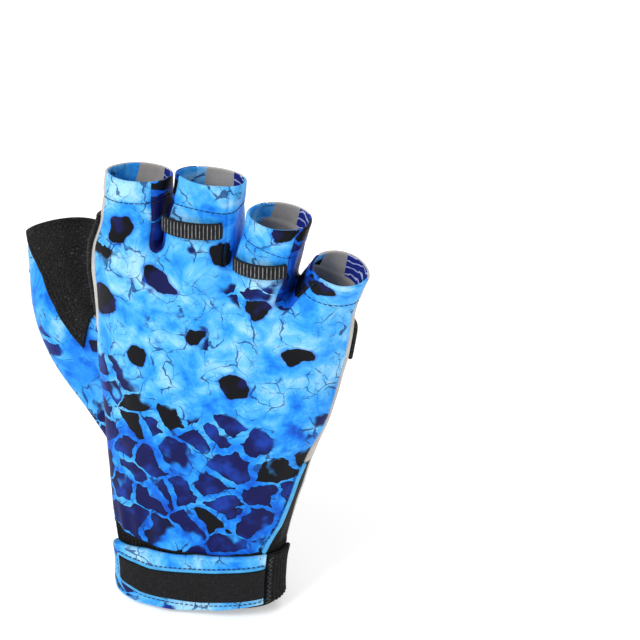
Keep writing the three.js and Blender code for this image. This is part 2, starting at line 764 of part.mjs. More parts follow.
// The bound edge of the wrist slit: a round cord on the back panel's cut edge.
function slitBinding(radius) {
  const back = facesOf(slitSide);
  const places = SLIT_LINE.map(handPoint).map(([x, z]) =>
    hit(new THREE.Vector3(x, -FAR, z), new THREE.Vector3(0, 1, 0), back),
  );
  const curve = new THREE.CatmullRomCurve3(places.filter(Boolean));
  const stations = [];
  for (let k = 0; k <= BINDING_STEPS; k++) {
    const along = curve.getTangentAt(k / BINDING_STEPS);
    const side = new THREE.Vector3(0, 1, 0).cross(along).normalize();
    stations.push({ at: curve.getPointAt(k / BINDING_STEPS), out: side, side: along.clone().cross(side) });
  }
  const profile = [];
  for (let i = 0; i < BINDING_SIDES; i++) {
    const angle = (i / BINDING_SIDES) * 2 * Math.PI;
    profile.push([Math.cos(angle) * radius, Math.sin(angle) * radius]);
  }
  return sweep(stations, profile);
}

// A ribbed band across the back of a finger, standing off it in the middle.
function pullLoop({ finger, rise, from, to }) {
  const faces = facesOf((f) => f.part === "finger" + finger || f.part === "palm");
  const spec = FINGERS[finger];
  const height = WEB_HEIGHT + rise * STALL_LENGTH;
  const middle = new THREE.Vector3(spec.x * HALF_WIDTH, spec.y * BACK_DEPTH, height);
  lean(middle);
  middle.z = height;
  const stations = [];
  for (let k = 0; k <= LOOP_STEPS; k++) {
    const angle = radians(mix(from, to, k / LOOP_STEPS));
    const out = new THREE.Vector3(Math.cos(angle), Math.sin(angle), 0);
    const lift = LOOP_CLEARANCE + LOOP_THICKNESS / 2 + LOOP_RISE * Math.sin((Math.PI * k) / LOOP_STEPS);
    const reach = [-0.5, 0, 0.5].map((share) => {
      const centre = middle.clone().setZ(height + share * LOOP_WIDTH);
      return hit(centre, out, faces).distanceTo(centre);
    });
    const at = middle.clone().addScaledVector(out, Math.max(...reach) + lift);
    stations.push({ at, out, side: new THREE.Vector3(0, 0, 1) });
  }
  const [a, b] = [LOOP_THICKNESS / 2, LOOP_WIDTH / 2];
  return sweep(stations, [
    [a, -b],
    [a, b],
    [-a, b],
    [-a, -b],
  ]);
}

const slitFoot = SLIT_LINE[SLIT_LINE.length - 1][0] * HALF_WIDTH;
const slitRegion = (gap) => [
  ...SLIT_LINE.map(handPoint).map(([x, z]) => [x + gap, z]),
  [slitFoot + gap, 0],
  [2 * HALF_WIDTH, 0],
  [2 * HALF_WIDTH, SLIT_LINE[0][1] * WEB_HEIGHT],
];

const belowBack = prism(below(BACK_HEM), -FAR, FAR);
const belowPalm = prism(below(PALM_HEM), -FAR, FAR);
const bindingRoom = slitBinding(BINDING_RADIUS + LAYER_GAP);
const panelSheet = (name) => sheet(facesOf(isPanel(name)), -WALL, 0, SEAM / 2);
const handPrism = (outline, nearY, farY) => prism(outline.map(handPoint), nearY, farY);
const cuffPrism = (outline) => prism(outline.map(cuffPoint), -FAR, 0);

// The printed back ends at its hem and at the slit, the palm at its own hem.
const back = panelSheet(PANELS.BACK).subtract(belowBack).subtract(prism(slitRegion(0), -FAR, 0));
addNode("panels", PANELS.BACK, printed, back.subtract(bindingRoom));
addNode("panels", PANELS.PALM, suede, panelSheet(PANELS.PALM).subtract(belowPalm));
for (const name of PANELS.FOURCHETTES) addNode("panels", name, printed, panelSheet(name));

// The knit cuff ends a seam below each panel's hem. The back's hem is the higher one.
const cuffBack = prism(below(lowered(BACK_HEM, SEAM)), -FAR, -SEAM);
const cuffAround = prism(below(lowered(PALM_HEM, SEAM)), -FAR, FAR);
addNode("cuff", "cuff_band", knit, layer(wristFace, -WALL, WALL).intersect(cuffBack.add(cuffAround)));

const flap = layer(slitFace, -WALL, WALL - LAYER_GAP).intersect(prism(slitRegion(SEAM), -FAR, -SEAM));
addNode("cuff", "slit_flap", plain, flap.subtract(belowBack).subtract(bindingRoom));
addNode("cuff", "slit_binding", bound, slitBinding(BINDING_RADIUS));

const strap = layer(wristBack, LAYER_GAP, STRAP_THICKNESS);
const plate = layer(wristBack, 2 * LAYER_GAP + STRAP_THICKNESS, PLATE_THICKNESS);
const elastic = layer(wristBack, LAYER_GAP, ELASTIC_THICKNESS);
addNode("cuff", "strap_tab", printed, strap.intersect(cuffPrism(STRAP_OUTLINE)));
addNode("cuff", "strap_plate", plain, plate.intersect(cuffPrism(PLATE_OUTLINE)));
addNode("cuff", "strap_elastic", knit, elastic.intersect(cuffPrism(ELASTIC_OUTLINE)));

const palmLayer = layer(palmSide, LAYER_GAP, PATCH_THICKNESS);
const indexLayer = layer(indexSide, LAYER_GAP, PATCH_THICKNESS);
const thumbLayer = layer(thumbBack, LAYER_GAP, PATCH_THICKNESS);
addNode("patches", "band_patch", pebbled, palmLayer.intersect(handPrism(BAND_OUTLINE, 0, FAR)));
addNode("patches", "heel_patch", pebbled, palmLayer.intersect(handPrism(HEEL_OUTLINE, 0, FAR)));
const indexPatch = indexLayer.intersect(handPrism(INDEX_SIDE_OUTLINE, -FAR, FAR));
addNode("patches", "index_side_patch", pebbled, indexPatch);
addNode("patches", "thumb_patch", pebbled, thumbLayer.intersect(handPrism(THUMB_OUTLINE, -FAR, FAR)));

for (const loop of LOOPS) addNode("loops", loop.name, knit, pullLoop(loop));

export default root;
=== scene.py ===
# A half-finger fishing glove for a right hand, standing worn-like with its fingers up.
# Metres. +Z runs from the wrist to the fingers, the back of the hand faces -Y and the thumb -X.
from functools import partial

import bpy
import numpy as np
from mathutils import Matrix, Vector


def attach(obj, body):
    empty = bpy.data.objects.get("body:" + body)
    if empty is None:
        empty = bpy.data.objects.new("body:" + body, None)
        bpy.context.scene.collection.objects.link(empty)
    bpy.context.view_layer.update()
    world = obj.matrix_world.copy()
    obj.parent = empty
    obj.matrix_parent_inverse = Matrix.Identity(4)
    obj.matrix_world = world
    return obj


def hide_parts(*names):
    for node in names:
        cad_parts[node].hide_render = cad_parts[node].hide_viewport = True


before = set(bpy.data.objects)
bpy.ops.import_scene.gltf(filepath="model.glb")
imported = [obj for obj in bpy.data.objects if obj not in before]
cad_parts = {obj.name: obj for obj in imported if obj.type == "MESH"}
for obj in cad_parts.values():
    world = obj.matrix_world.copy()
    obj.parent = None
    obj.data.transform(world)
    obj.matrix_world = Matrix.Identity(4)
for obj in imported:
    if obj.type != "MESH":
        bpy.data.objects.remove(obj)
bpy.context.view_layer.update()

# The hand's form.
# Cloth sewn to the shape of a half-closed hand: a flat tube over the palm, four finger stalls and a
# thumb stall. The sections are shares of the sizes, and a smooth surface passes through them all.

MM = 0.001
HALF_WIDTH = 50 * MM
BACK_DEPTH = 20 * MM
PALM_DEPTH = 20 * MM
WEB_HEIGHT = 150 * MM
CUFF_HEIGHT = 24 * MM
FINGER_WIDTH = 24 * MM
FINGER_DEPTH = 22 * MM
STALL_LENGTH = 28 * MM
THUMB_WIDTH = 27 * MM
THUMB_REACH = 71 * MM
THUMB_HEIGHT = 123.5 * MM
THUMB_FORWARD = 46 * MM
HAND_LEAN = np.radians(3.5)

# Rings up the palm: height (share of the webs' height), share of the way on to the webs, left, right
# (shares of the half width), back, palm (shares of the two depths), lean towards the palm
PALM_RINGS = np.array([
    (0.000, 0.0, -0.64, 0.650, 0.80, 0.93, 0.00),
    (0.080, 0.0, -0.64, 0.650, 0.80, 0.93, 0.00),
    (0.160, 0.0, -0.67, 0.670, 0.80, 0.93, 0.02),
    (0.250, 0.0, -0.72, 0.710, 0.82, 0.96, 0.15),
    (0.345, 0.0, -0.79, 0.755, 0.85, 1.00, 0.40),
    (0.345, 0.2, -0.84, 0.810, 0.88, 1.00, 0.55),
    (0.345, 0.4, -0.90, 0.890, 0.90, 0.98, 0.60),
    (0.345, 0.6, -0.93, 0.950, 0.90, 0.93, 0.45),
    (0.345, 0.8, -0.94, 0.990, 0.86, 0.78, 0.15),
])
SIDE_ROUNDNESS = 2.5

# Where the fingers start, from the index to the little finger: x, y, z shares
WEB_BACK = np.array([
    (-0.92, -0.40, 0.953), (-0.72, -0.73, 0.973), (-0.45, -0.68, 0.990),
    (-0.19, -0.80, 0.993), (0.09, -0.70, 0.978), (0.29, -0.85, 0.940),
    (0.49, -0.76, 0.897), (0.74, -0.88, 0.873), (0.96, -0.60, 0.860),
])
WEB_PALM = np.array([
    (-0.90, 0.40, 0.933), (-0.66, 0.63, 0.947), (-0.34, 0.48, 0.973),
    (-0.08, 0.63, 0.987), (0.15, 0.45, 0.983), (0.36, 0.55, 0.960),
    (0.56, 0.35, 0.927), (0.78, 0.35, 0.887), (0.96, 0.15, 0.860),
])
SIDE_ENDS = np.array([(-0.96, 0.0, 0.94), (1.01, -0.24, 0.853)])
WEBS = np.array([(-0.39, -0.1, 1.0), (0.12, -0.12, 0.993), (0.53, -0.2, 0.92)])

# Finger openings: x, y, rise, width, depth (shares), turn in degrees, slopes along y and x
FINGERS = np.array([
    (-0.632, -0.150, 0.88, 1.00, 1.00, -20, -0.080, 0.06),
    (-0.112, -0.150, 0.97, 1.05, 1.00, -12, -0.110, 0.00),
    (0.410, -0.325, 0.62, 0.95, 1.00, -10, 0.030, -0.02),
    (0.884, -0.600, 0.11, 0.85, 0.92, 15, 0.185, -0.12),
])
FINGER_ANGLES = np.radians([218, 270, 322, 0, 45, 90, 135, 180])
FINGER_STEPS = np.array([0.34, 0.68, 1.0])
FINGER_WAIST = 0.07

THUMB_AXIS = np.array([-0.33, 0.6, 0.73]) / np.linalg.norm([-0.33, 0.6, 0.73])
THUMB_ANGLES = np.radians([310, 350, 15, 37, 60, 85, 112, 160, 215, 265])
THUMB_STEPS = np.array([0.34, 0.67, 1.0])
THUMB_BEND = 0.3
THUMB_SWELL = 1.25
THUMB_BEND_SHIFT = np.array([-0.3, 0.0, -0.2])

COLUMNS = 20
ROWS = 9
RIGHT = 10
THUMB_ROWS = (4, 7)
SMOOTHING = 3
FIT_ROUNDS = 14


def mix(a, b, t):
    """Straight blend: a at t = 0, b at t = 1."""
    return a + (b - a) * t


def smooth(low, high, value):
    """An S-curve from 0 at low to 1 at high."""
    t = np.clip((value - low) / (high - low), 0, 1)
    return t * t * (3 - 2 * t)


def unit(vectors):
    """The same directions, each with a length of one."""
    return vectors / np.maximum(np.linalg.norm(vectors, axis=-1, keepdims=True), 1e-12)


def placed(shares):
    """Shares of the half width, of the back's or palm's depth and of the webs' height, in metres."""
    x, y, z = shares.T
    return np.stack([x * HALF_WIDTH, y * np.where(y < 0, BACK_DEPTH, PALM_DEPTH), z * WEB_HEIGHT], -1)


def leaned(points):
    """Above the cuff, points turn about the cuff's top edge towards the little finger."""
    x, y, z = points.T
    cos, sin = np.cos(HAND_LEAN), np.sin(HAND_LEAN)
    share = smooth(CUFF_HEIGHT, 2 * CUFF_HEIGHT, z)
    up = z - CUFF_HEIGHT
    turned_x, turned_z = x * cos + up * sin, CUFF_HEIGHT + up * cos - x * sin
    return np.stack([mix(x, turned_x, share), y, mix(z, turned_z, share)], -1)


def palm_rings():
    """Ten rings of twenty points. Each is a superellipse whose columns drift to where the fingers start."""
    top = placed(np.concatenate([SIDE_ENDS[:1], WEB_BACK, SIDE_ENDS[1:], WEB_PALM[::-1]]))
    height, rise, left, right, back, palm, lean = (c[:, None] for c in PALM_RINGS.T)
    index = np.arange(COLUMNS)
    is_back = (index > 0) & (index < RIGHT)
    even = np.cos(np.pi - index / COLUMNS * 2 * np.pi)
    span = top[RIGHT, 0] - top[0, 0]
    goal = np.clip(2 * (top[:, 0] - top[0, 0]) / span - 1, -1, 1)
    share = mix(even, goal, rise)
    bulge = np.maximum(0, 1 - np.abs(share) ** SIDE_ROUNDNESS) ** (1 / SIDE_ROUNDNESS)
    forward = lean * PALM_DEPTH * np.maximum(0, -share) ** 3
    depth = np.where(is_back, -back * BACK_DEPTH, palm * PALM_DEPTH)
    x = ((left + right) / 2 + (right - left) / 2 * share) * HALF_WIDTH
    y = depth * bulge + forward * np.where(is_back, 0.6, 1 - 0.5 * bulge)
    z = mix(height * WEB_HEIGHT, top[:, 2], rise)
    return np.concatenate([np.stack([x, y, z], -1), top[None]])


def finger_rims():
    """Four ellipses of eight points, each turned about +Z and tilted by its two slopes."""
    x, y, rise, width, depth, turn, pitch, roll = (c[:, None] for c in FINGERS.T)
    across = np.cos(FINGER_ANGLES) * width * FINGER_WIDTH / 2
    deep = np.sin(FINGER_ANGLES) * depth * FINGER_DEPTH / 2
    cos, sin = np.cos(np.radians(turn)), np.sin(np.radians(turn))
    px, py = across * cos - deep * sin, across * sin + deep * cos
    pz = WEB_HEIGHT + rise * STALL_LENGTH + px * roll + py * pitch
    return np.stack([x * HALF_WIDTH + px, y * BACK_DEPTH + py, pz], -1)


def cage():
    """The hand's control cage: points, four-sided faces, each corner's column and row, and the part:
    0 the palm, 1 to 4 the fingers from the index on, 5 the thumb."""
    rings = palm_rings()
    ids = np.arange(rings.shape[0] * COLUMNS).reshape(-1, COLUMNS)
    points = [rings.reshape(-1, 3), placed(WEBS)]
    first_web = ids.size
    count = first_web + len(WEBS)
    faces, places, parts = [], [], []

    def band(low, high, row, part, keep):
        """Adds the kept faces between two rings of point numbers, with their places and their part."""
        across = len(low)
        column = np.arange(across)[keep]
        nxt = (column + 1) % across
        faces.append(np.stack([low[column], low[nxt], high[nxt], high[column]], 1))
        u = column[:, None] + np.array([0, 1, 1, 0])
        v = np.broadcast_to(row + np.array([0, 0, 1, 1]), u.shape)
        places.append(np.stack([u, v], -1).astype(float))
        parts.append(np.full(len(column), part))

    for row in range(ROWS):
        keep = np.ones(COLUMNS, bool)
        if THUMB_ROWS[0] <= row < THUMB_ROWS[1]:
            keep[-2:] = False
        band(ids[row], ids[row + 1], row, 0, keep)

    top = ids[-1]
    everywhere = np.ones(len(FINGER_ANGLES), bool)
    for n, rim in enumerate(finger_rims()):
        right = first_web + n if n < len(WEBS) else top[RIGHT]
        left = first_web + n - 1 if n else top[0]
        b, p = 1 + 2 * n, COLUMNS - 1 - 2 * n
        base = np.array([top[b], top[b + 1], top[b + 2], right, top[p - 2], top[p - 1], top[p], left])
        start = np.concatenate(points)[base]
        low = base
        for row, t in enumerate(FINGER_STEPS):
            level = mix(start, rim, t)
            narrow = mix(level, level.mean(0), FINGER_WAIST * np.sin(np.pi * t))
            points.append(np.column_stack([narrow[:, :2], level[:, 2]]))
            high = count + np.arange(len(base))
            count += len(base)
            band(low, high, row, 1 + n, everywhere)
            low = high

    first, last = THUMB_ROWS
    edge, inner = [ids[last, 0], ids[last, 19], ids[last, 18]], [ids[last - 1, 18], ids[first + 1, 18]]
    outer = [ids[first, 18], ids[first, 19], ids[first, 0], ids[first + 1, 0], ids[last - 1, 0]]
    base = np.array(edge + inner + outer)
    start = np.concatenate(points)[base]
    centre = np.array([-THUMB_REACH, THUMB_FORWARD, THUMB_HEIGHT])
    across = unit(np.array([1, 0, 0]) - THUMB_AXIS[0] * THUMB_AXIS)
    deep = np.cross(THUMB_AXIS, across)
    spokes = np.cos(THUMB_ANGLES)[:, None] * across + np.sin(THUMB_ANGLES)[:, None] * deep
    rim = centre + spokes * THUMB_WIDTH / 2
    bend = centre - THUMB_AXIS * THUMB_BEND * THUMB_HEIGHT + THUMB_BEND_SHIFT * THUMB_WIDTH
    turn = bend + (rim - centre) * THUMB_SWELL
    low = base
    for row, t in enumerate(THUMB_STEPS):
        points.append(mix(mix(start, turn, t), mix(turn, rim, t), t))
        high = count + np.arange(len(base))
        count += len(base)
        band(low, high, row, 5, np.ones(len(base), bool))
        low = high

    faces = np.concatenate(faces)
    used, faces = np.unique(faces, return_inverse=True)
    faces = faces.reshape(-1, 4)
    return leaned(np.concatenate(points)[used]), faces, np.concatenate(places), np.concatenate(parts)


def edges_of(faces):
    """The edges as sorted pairs, each face side's edge, and which edges are open."""
    sides = np.sort(np.stack([faces, np.roll(faces, -1, 1)], -1).reshape(-1, 2), 1)
    edges, which, uses = np.unique(sides, axis=0, return_inverse=True, return_counts=True)
    return edges, which.reshape(-1, 4), uses == 1


def gathered(targets, values, count):
    """Sums of the values that land on each target."""
    total = np.zeros((count, values.shape[-1]))
    np.add.at(total, targets.ravel(), values.reshape(-1, values.shape[-1]))
    return total


def subdivided(points, faces):
    """One Catmull-Clark step: each face gives four. Open edges become cubic curves."""
    edges, which, is_open = edges_of(faces)
    count = len(points)
    middles = points[faces].mean(1)
    spread = np.repeat(middles[:, None], 4, 1)
    valence = np.bincount(edges.ravel(), minlength=count)[:, None]
    uses = np.bincount(faces.ravel(), minlength=count)[:, None]
    halves = points[edges].mean(1)
    edge_points = np.where(
        is_open[:, None], halves, (2 * halves + gathered(which, spread, len(edges))) / 4
    )
    q = gathered(faces, spread, count) / uses
    r = gathered(edges, np.repeat(halves[:, None], 2, 1), count) / valence
    moved = (q + 2 * r + (valence - 3) * points) / valence
    rim = edges[is_open]
    rim_sum = gathered(rim, points[rim[:, ::-1]], count)
    on_rim = np.bincount(rim.ravel(), minlength=count)[:, None] > 0
    moved = np.where(on_rim, (6 * points + rim_sum) / 8, moved)
    centre = count + len(edges) + np.arange(len(faces))
    side = count + which
    quads = np.stack([faces, side, np.repeat(centre[:, None], 4, 1), np.roll(side, 1, 1)], -1)
    return np.concatenate([moved, edge_points, middles]), quads.reshape(-1, 4)


def limit(points, faces):
    """Where each point ends on the finished smooth surface."""
    edges, _, is_open = edges_of(faces)
    count = len(points)
    valence = np.bincount(edges.ravel(), minlength=count)[:, None]
    near = gathered(edges, points[edges[:, ::-1]], count)
    far = gathered(faces, points[np.roll(faces, 2, 1)], count)
    inside = (valence**2 * points + 4 * near + far) / (valence * (valence + 5))
    rim = edges[is_open]
    on_rim = np.bincount(rim.ravel(), minlength=count)[:, None] > 0
    rim_sum = gathered(rim, points[rim[:, ::-1]], count)
    return np.where(on_rim, (4 * points + rim_sum) / 6, inside)


def hand():
    """The smooth hand: the cage is first moved until its smooth surface passes through its own points."""
    goals, faces, places, parts = cage()
    points = goals.copy()
    for _ in range(FIT_ROUNDS):
        points += goals - limit(points, faces)
    for _ in range(SMOOTHING):
        points, faces = subdivided(points, faces)
        side = (places + np.roll(places, -1, 1)) / 2
        centre = np.repeat(places.mean(1, keepdims=True), 4, 1)
        places = np.stack([places, side, centre, np.roll(side, 1, 1)], 2).reshape(-1, 4, 2)
        parts = np.repeat(parts, 4)
    return limit(points, faces), faces, places, parts


hand_points, hand_faces, hand_places, hand_parts = hand()
STEP = 2**SMOOTHING


def normals_of(points, faces):
    """Unit normals at the points: each face adds the cross product of its two diagonals."""
    corner = points[faces]
    cross = np.cross(corner[:, 2] - corner[:, 0], corner[:, 3] - corner[:, 1])
    return unit(gathered(faces, np.repeat(cross[:, None], 4, 1), len(points)))


hand_normals = normals_of(hand_points, hand_faces)


def chart(part, columns, rows):
    """The point numbers of one part as a grid, its rows up the part and its columns round it."""
    grid = np.full((rows * STEP + 1, columns * STEP + 1), -1)
    own = hand_parts == part
    u, v = np.rint(hand_places[own] * STEP).astype(int).transpose(2, 0, 1)
    grid[v, u] = hand_faces[own]
    return grid


palm_chart = chart(0, COLUMNS, ROWS)
finger_charts = [chart(1 + n, 8, 3) for n in range(4)]
thumb_chart = chart(5, 10, 3)


def on_chart(grid, values, u, v):
    """Values at columns u and rows v of a chart, blended from the four nearest points."""
    rows, columns = grid.shape
    a = np.clip(np.asarray(u) * STEP, 0, columns - 1.001)
    b = np.clip(np.asarray(v) * STEP, 0, rows - 1.001)
    i, j = np.floor(b).astype(int), np.floor(a).astype(int)
    s, t = (a - j)[..., None], (b - i)[..., None]
    low = mix(values[grid[i, j]], values[grid[i, j + 1]], s)
    high = mix(values[grid[i + 1, j]], values[grid[i + 1, j + 1]], s)
    return mix(low, high, t)


# Creases in the cloth.
# Stretch cloth on a hand sinks between the knuckles and at the thumb's root, and the sewn cuff and
# hems draw it into short tucks. Each row is a line on the cloth, pressed in or raised along it.

# Ends as x of the half width, y of the depths and z of the webs' height, then width and depth as
# shares of the finger width
CREASES = np.array([
    (-0.38, -0.75, 1.00, -0.26, -0.92, 0.80, 0.30, 0.060),
    (0.10, -0.80, 0.97, 0.14, -0.95, 0.78, 0.30, 0.060),
    (0.53, -0.80, 0.90, 0.46, -0.90, 0.74, 0.30, 0.060),
    (-0.76, 0.75, 0.56, -0.71, 0.80, 0.30, 0.20, 0.060),
    (-0.83, 0.45, 0.68, -0.80, 0.30, 0.50, 0.16, 0.045),
    (-0.95, 0.85, 0.60, -0.98, 0.65, 0.45, 0.18, 0.040),
    (-0.50, 0.92, 0.71, 0.75, 0.80, 0.665, 0.22, 0.035),
    (0.84, -0.50, 0.50, 0.68, -0.75, 0.41, 0.20, 0.040),
    (-0.40, -0.80, 0.17, -0.36, -0.90, 0.32, 0.18, 0.035),
    (0.04, -0.82, 0.17, 0.02, -0.92, 0.29, 0.18, 0.030),
])

# Finer tucks: the same columns
TUCKS = np.array([
    (-0.46, -0.70, 1.03, -0.33, -0.80, 0.95, 0.055, 0.022),
    (-0.40, -0.70, 0.99, -0.20, -0.85, 0.92, 0.050, 0.018),
    (0.02, -0.80, 1.00, 0.14, -0.85, 0.92, 0.055, 0.022),
    (0.10, -0.80, 0.97, 0.30, -0.90, 0.90, 0.050, 0.016),
    (0.46, -0.80, 0.93, 0.55, -0.85, 0.84, 0.055, 0.022),
    (0.58, -0.80, 0.88, 0.70, -0.85, 0.80, 0.050, 0.016),
    (-0.84, 0.20, 0.60, -0.62, -0.60, 0.56, 0.070, 0.026),
    (-0.83, 0.20, 0.55, -0.60, -0.60, 0.49, 0.060, 0.024),
    (-0.81, 0.15, 0.49, -0.58, -0.65, 0.42, 0.065, 0.024),
    (-0.79, 0.10, 0.43, -0.52, -0.70, 0.35, 0.060, 0.020),
    (-0.86, 0.20, 0.65, -0.68, -0.55, 0.64, 0.060, 0.020),
    (-1.10, 0.80, 0.66, -1.22, 1.00, 0.58, 0.070, 0.030),
    (-0.98, 0.62, 0.58, -1.10, 0.85, 0.50, 0.070, 0.026),
    (-0.80, 0.85, 0.66, -0.70, 0.90, 0.48, 0.060, 0.022),
    (-0.70, 0.90, 0.62, -0.60, 0.95, 0.42, 0.060, 0.018),
    (-0.48, 0.80, 0.90, -0.30, 0.70, 0.97, 0.055, 0.020),
    (0.02, 0.80, 0.91, 0.08, 0.60, 0.98, 0.055, 0.020),
    (0.42, 0.75, 0.86, 0.50, 0.50, 0.93, 0.055, 0.020),
    (0.86, -0.55, 0.62, 0.70, -0.80, 0.52, 0.060, 0.018),
    (0.88, -0.45, 0.57, 0.74, -0.75, 0.46, 0.060, 0.018),
])
CLOTH_WAVE = 0.22 * MM
HEM_RAISE = 0.35 * MM
# The row of each part's hem stitches: the palm has none, then the four fingers and the thumb
HEM_ROWS = np.array([9.0, 2.06, 1.95, 1.88, 1.6, 2.42])
CUFF_TUCK = 0.45 * MM
CUFF_TUCKS = 23


def line_shares(points, lines):
    """For each line, how near each point lies: 1 on the line, falling as a bell over its width."""
    start, end = leaned(placed(lines[:, :3])), leaned(placed(lines[:, 3:6]))
    along = end - start
    reach = np.einsum("pk,lk->pl", points, along) - (start * along).sum(1)
    t = np.clip(reach / (along**2).sum(1), 0, 1)
    away = np.linalg.norm(points[:, None] - (start + t[..., None] * along), axis=-1)
    return np.exp(-((away / (lines[:, 6] * FINGER_WIDTH)) ** 2))


def pressed(points, normals):
    """Points sunk along their normals by each crease's depth where they lie near its line."""
    sink = line_shares(points, CREASES) @ (CREASES[:, 7] * FINGER_WIDTH)
    return points - normals * sink[:, None]


def corner_places():
    """Each point's column and row: the last of the corners that meet there, as they all agree."""
    columns, rows = np.zeros(len(hand_points)), np.zeros(len(hand_points))
    columns[hand_faces.ravel()] = hand_places[..., 0].ravel()
    rows[hand_faces.ravel()] = hand_places[..., 1].ravel()
    return columns, rows


hand_points = pressed(hand_points, hand_normals)
hand_normals = normals_of(hand_points, hand_faces)
point_parts = np.zeros(len(hand_points), int)
point_parts[hand_faces.ravel()] = np.repeat(hand_parts, 4)


def worn(points, normals):
    """The cloth's fine form: tucks, a raised hem at the finger openings, a row of short tucks above
    the cuff that fades upwards, and slow waves made of three sines."""
    columns, rows = corner_places()
    rise = -line_shares(points, TUCKS) @ (TUCKS[:, 7] * FINGER_WIDTH)
    stall = point_parts > 0
    above = rows - HEM_ROWS[point_parts]
    rise += HEM_RAISE * smooth(-0.03, 0.14, above) * stall
    rise -= HEM_RAISE * np.exp(-((above / 0.07) ** 2)) * stall
    fade = np.exp(-(((rows - 2.2) / 0.8) ** 2)) * smooth(2.02, 2.5, rows) * ~stall
    rise += CUFF_TUCK * fade * np.sin(columns / COLUMNS * 2 * np.pi * CUFF_TUCKS)
    x, y, z = (points / FINGER_WIDTH * np.pi).T
    rise += CLOTH_WAVE * np.sin(1.3 * x + 0.7 * z) * np.sin(0.8 * z - 0.5 * x + y)
    rise += CLOTH_WAVE / 2 * np.sin(2.9 * x - 1.9 * z + 1.0) * np.sin(2.3 * z + 1.1 * y)
    return points + normals * rise[:, None]


worn_points = worn(hand_points, hand_normals)
worn_normals = normals_of(worn_points, hand_faces)


# The printed back, the suede palm and the strips between the fingers.
# Five pieces of stretch cloth cut from flat and sewn edge to edge. The back's print turns in at the
# finger openings and meets a lilac lining. The wrist is slit along its little-finger side.

WALL = 1.1 * MM
SEAM_SINK = 0.45 * MM
SEAM_LAP = 0.35 * MM
TURNED_HEM = 9 * MM
LEFT_EDGE_COLUMN = 1
RIGHT_EDGE_COLUMN = 9
SLIT_TOP_ROW = 5
WARP_ROW = 4
SIDE_SHIFT = 0.45

# Where the slit's edge runs: row and column
SLIT_EDGE = np.array([(2.0, 7.85), (2.48, 8.05), (3.11, 8.5), (3.77, 8.66), (4.51, 8.82), (5.0, 9.0)])

# Lower edges of the back and the palm: x as a share of the half width, z of the cuff's height
BACK_HEM = np.array([
    (-2.0, 1.32), (-0.66, 1.30), (-0.52, 1.13), (-0.30, 1.04), (0.05, 1.02), (0.30, 1.04), (0.55, 1.10),
    (2.0, 1.10),
])
PALM_HEM = np.array([(-2.0, 1.10), (-0.66, 1.05), (-0.30, 0.94), (0.20, 0.94), (0.66, 1.10), (2.0, 1.10)])


def on_hand(grid, u, v):
    """The worn cloth's points and unit normals at columns u and rows v. A closed chart goes round."""
    if grid[-1, 0] == grid[-1, -1]:
        u = np.mod(u, (grid.shape[1] - 1) / STEP)
    return on_chart(grid, worn_points, u, v), unit(on_chart(grid, worn_normals, u, v))


def edge_height(edge, x):
    """The height of a drawn edge above the places x, in metres."""
    return np.interp(x / HALF_WIDTH, edge[:, 0], edge[:, 1]) * CUFF_HEIGHT


def row_at(grid, u, z, v=1.0):
    """The row at each column u where the cloth reaches height z: Newton's steps from the slope."""
    top = (grid.shape[0] - 1) / STEP
    u, z = np.broadcast_arrays(u, z)
    v = np.full(u.shape, v)
    for _ in range(10):
        here = on_hand(grid, u, v)[0][..., 2]
        slope = (on_hand(grid, u, v + 0.1)[0][..., 2] - here) / 0.1
        v = np.clip(v + np.clip((z - here) / slope, -1, 1), 0, top - 0.11)
    return v


def hem_row(edge, u):
    """The row where the surface at each column u meets a drawn edge."""
    x = on_hand(palm_chart, u, np.full_like(u, 2.0))[0][..., 0]
    return row_at(palm_chart, u, edge_height(edge, x))


def cut_places(u, v, edge):
    """Places moved so that row 2 lies on the hem and, on the back, column 9 lies on the slit."""
    slit = np.interp(v, SLIT_EDGE[:, 0], SLIT_EDGE[:, 1])
    by_slit = (u > 6) & (u <= RIGHT_EDGE_COLUMN) & (v < SLIT_TOP_ROW)
    u = np.where(by_slit, 6 + (u - 6) * (slit - 6) / (RIGHT_EDGE_COLUMN - 6), u)
    low, third = hem_row(edge, u), (hem_row(BACK_HEM, u) + WARP_ROW) / 2
    by_hem = np.where(v < 3, low + (v - 2) * (third - low), third + (v - 3) * (WARP_ROW - third))
    return u, np.where(v < WARP_ROW, by_hem, v)


def round_side(parts, u, v):
    """Places moved so that the little finger's side seam lies further round towards the palm, by a
    share of a column that fades in above the slit."""
    middle = np.where(parts == 0, RIGHT_EDGE_COLUMN, 2)
    share = np.clip(1 - abs(u - middle), 0, 1) * ((parts == 0) | (parts == 4))
    return u + SIDE_SHIFT * share * np.where(parts == 0, smooth(SLIT_TOP_ROW, SLIT_TOP_ROW + 1.0, v), 1)


def srgb(code):
    """A hex colour as linear red, green, blue and 1."""
    value = np.array([int(code[i : i + 2], 16) / 255 for i in (0, 2, 4)])
    linear = np.where(value <= 0.04045, value / 12.92, ((value + 0.055) / 1.055) ** 2.4)
    return (*linear.tolist(), 1.0)


def make(name, points, faces, materials, indices=None, attributes=None):
    """A mesh object with smooth faces, its materials, and named attributes, one value a point."""
    mesh = bpy.data.meshes.new(name)
    mesh.from_pydata(points.tolist(), [], faces if isinstance(faces, list) else faces.tolist())
    for material in materials:
        mesh.materials.append(material)
    if indices is not None:
        mesh.polygons.foreach_set("material_index", indices.astype(np.int32))
    for key, values in (attributes or {}).items():
        layer = mesh.attributes.new(key, "FLOAT" if values.ndim == 1 else "FLOAT_VECTOR", "POINT")
        layer.data.foreach_set("value" if values.ndim == 1 else "vector", values.astype(np.float32).ravel())
    mesh.polygons.foreach_set("use_smooth", np.ones(len(faces), bool))
    mesh.update()
    piece = bpy.data.objects.new(name, mesh)
    bpy.context.scene.collection.objects.link(piece)
    return piece


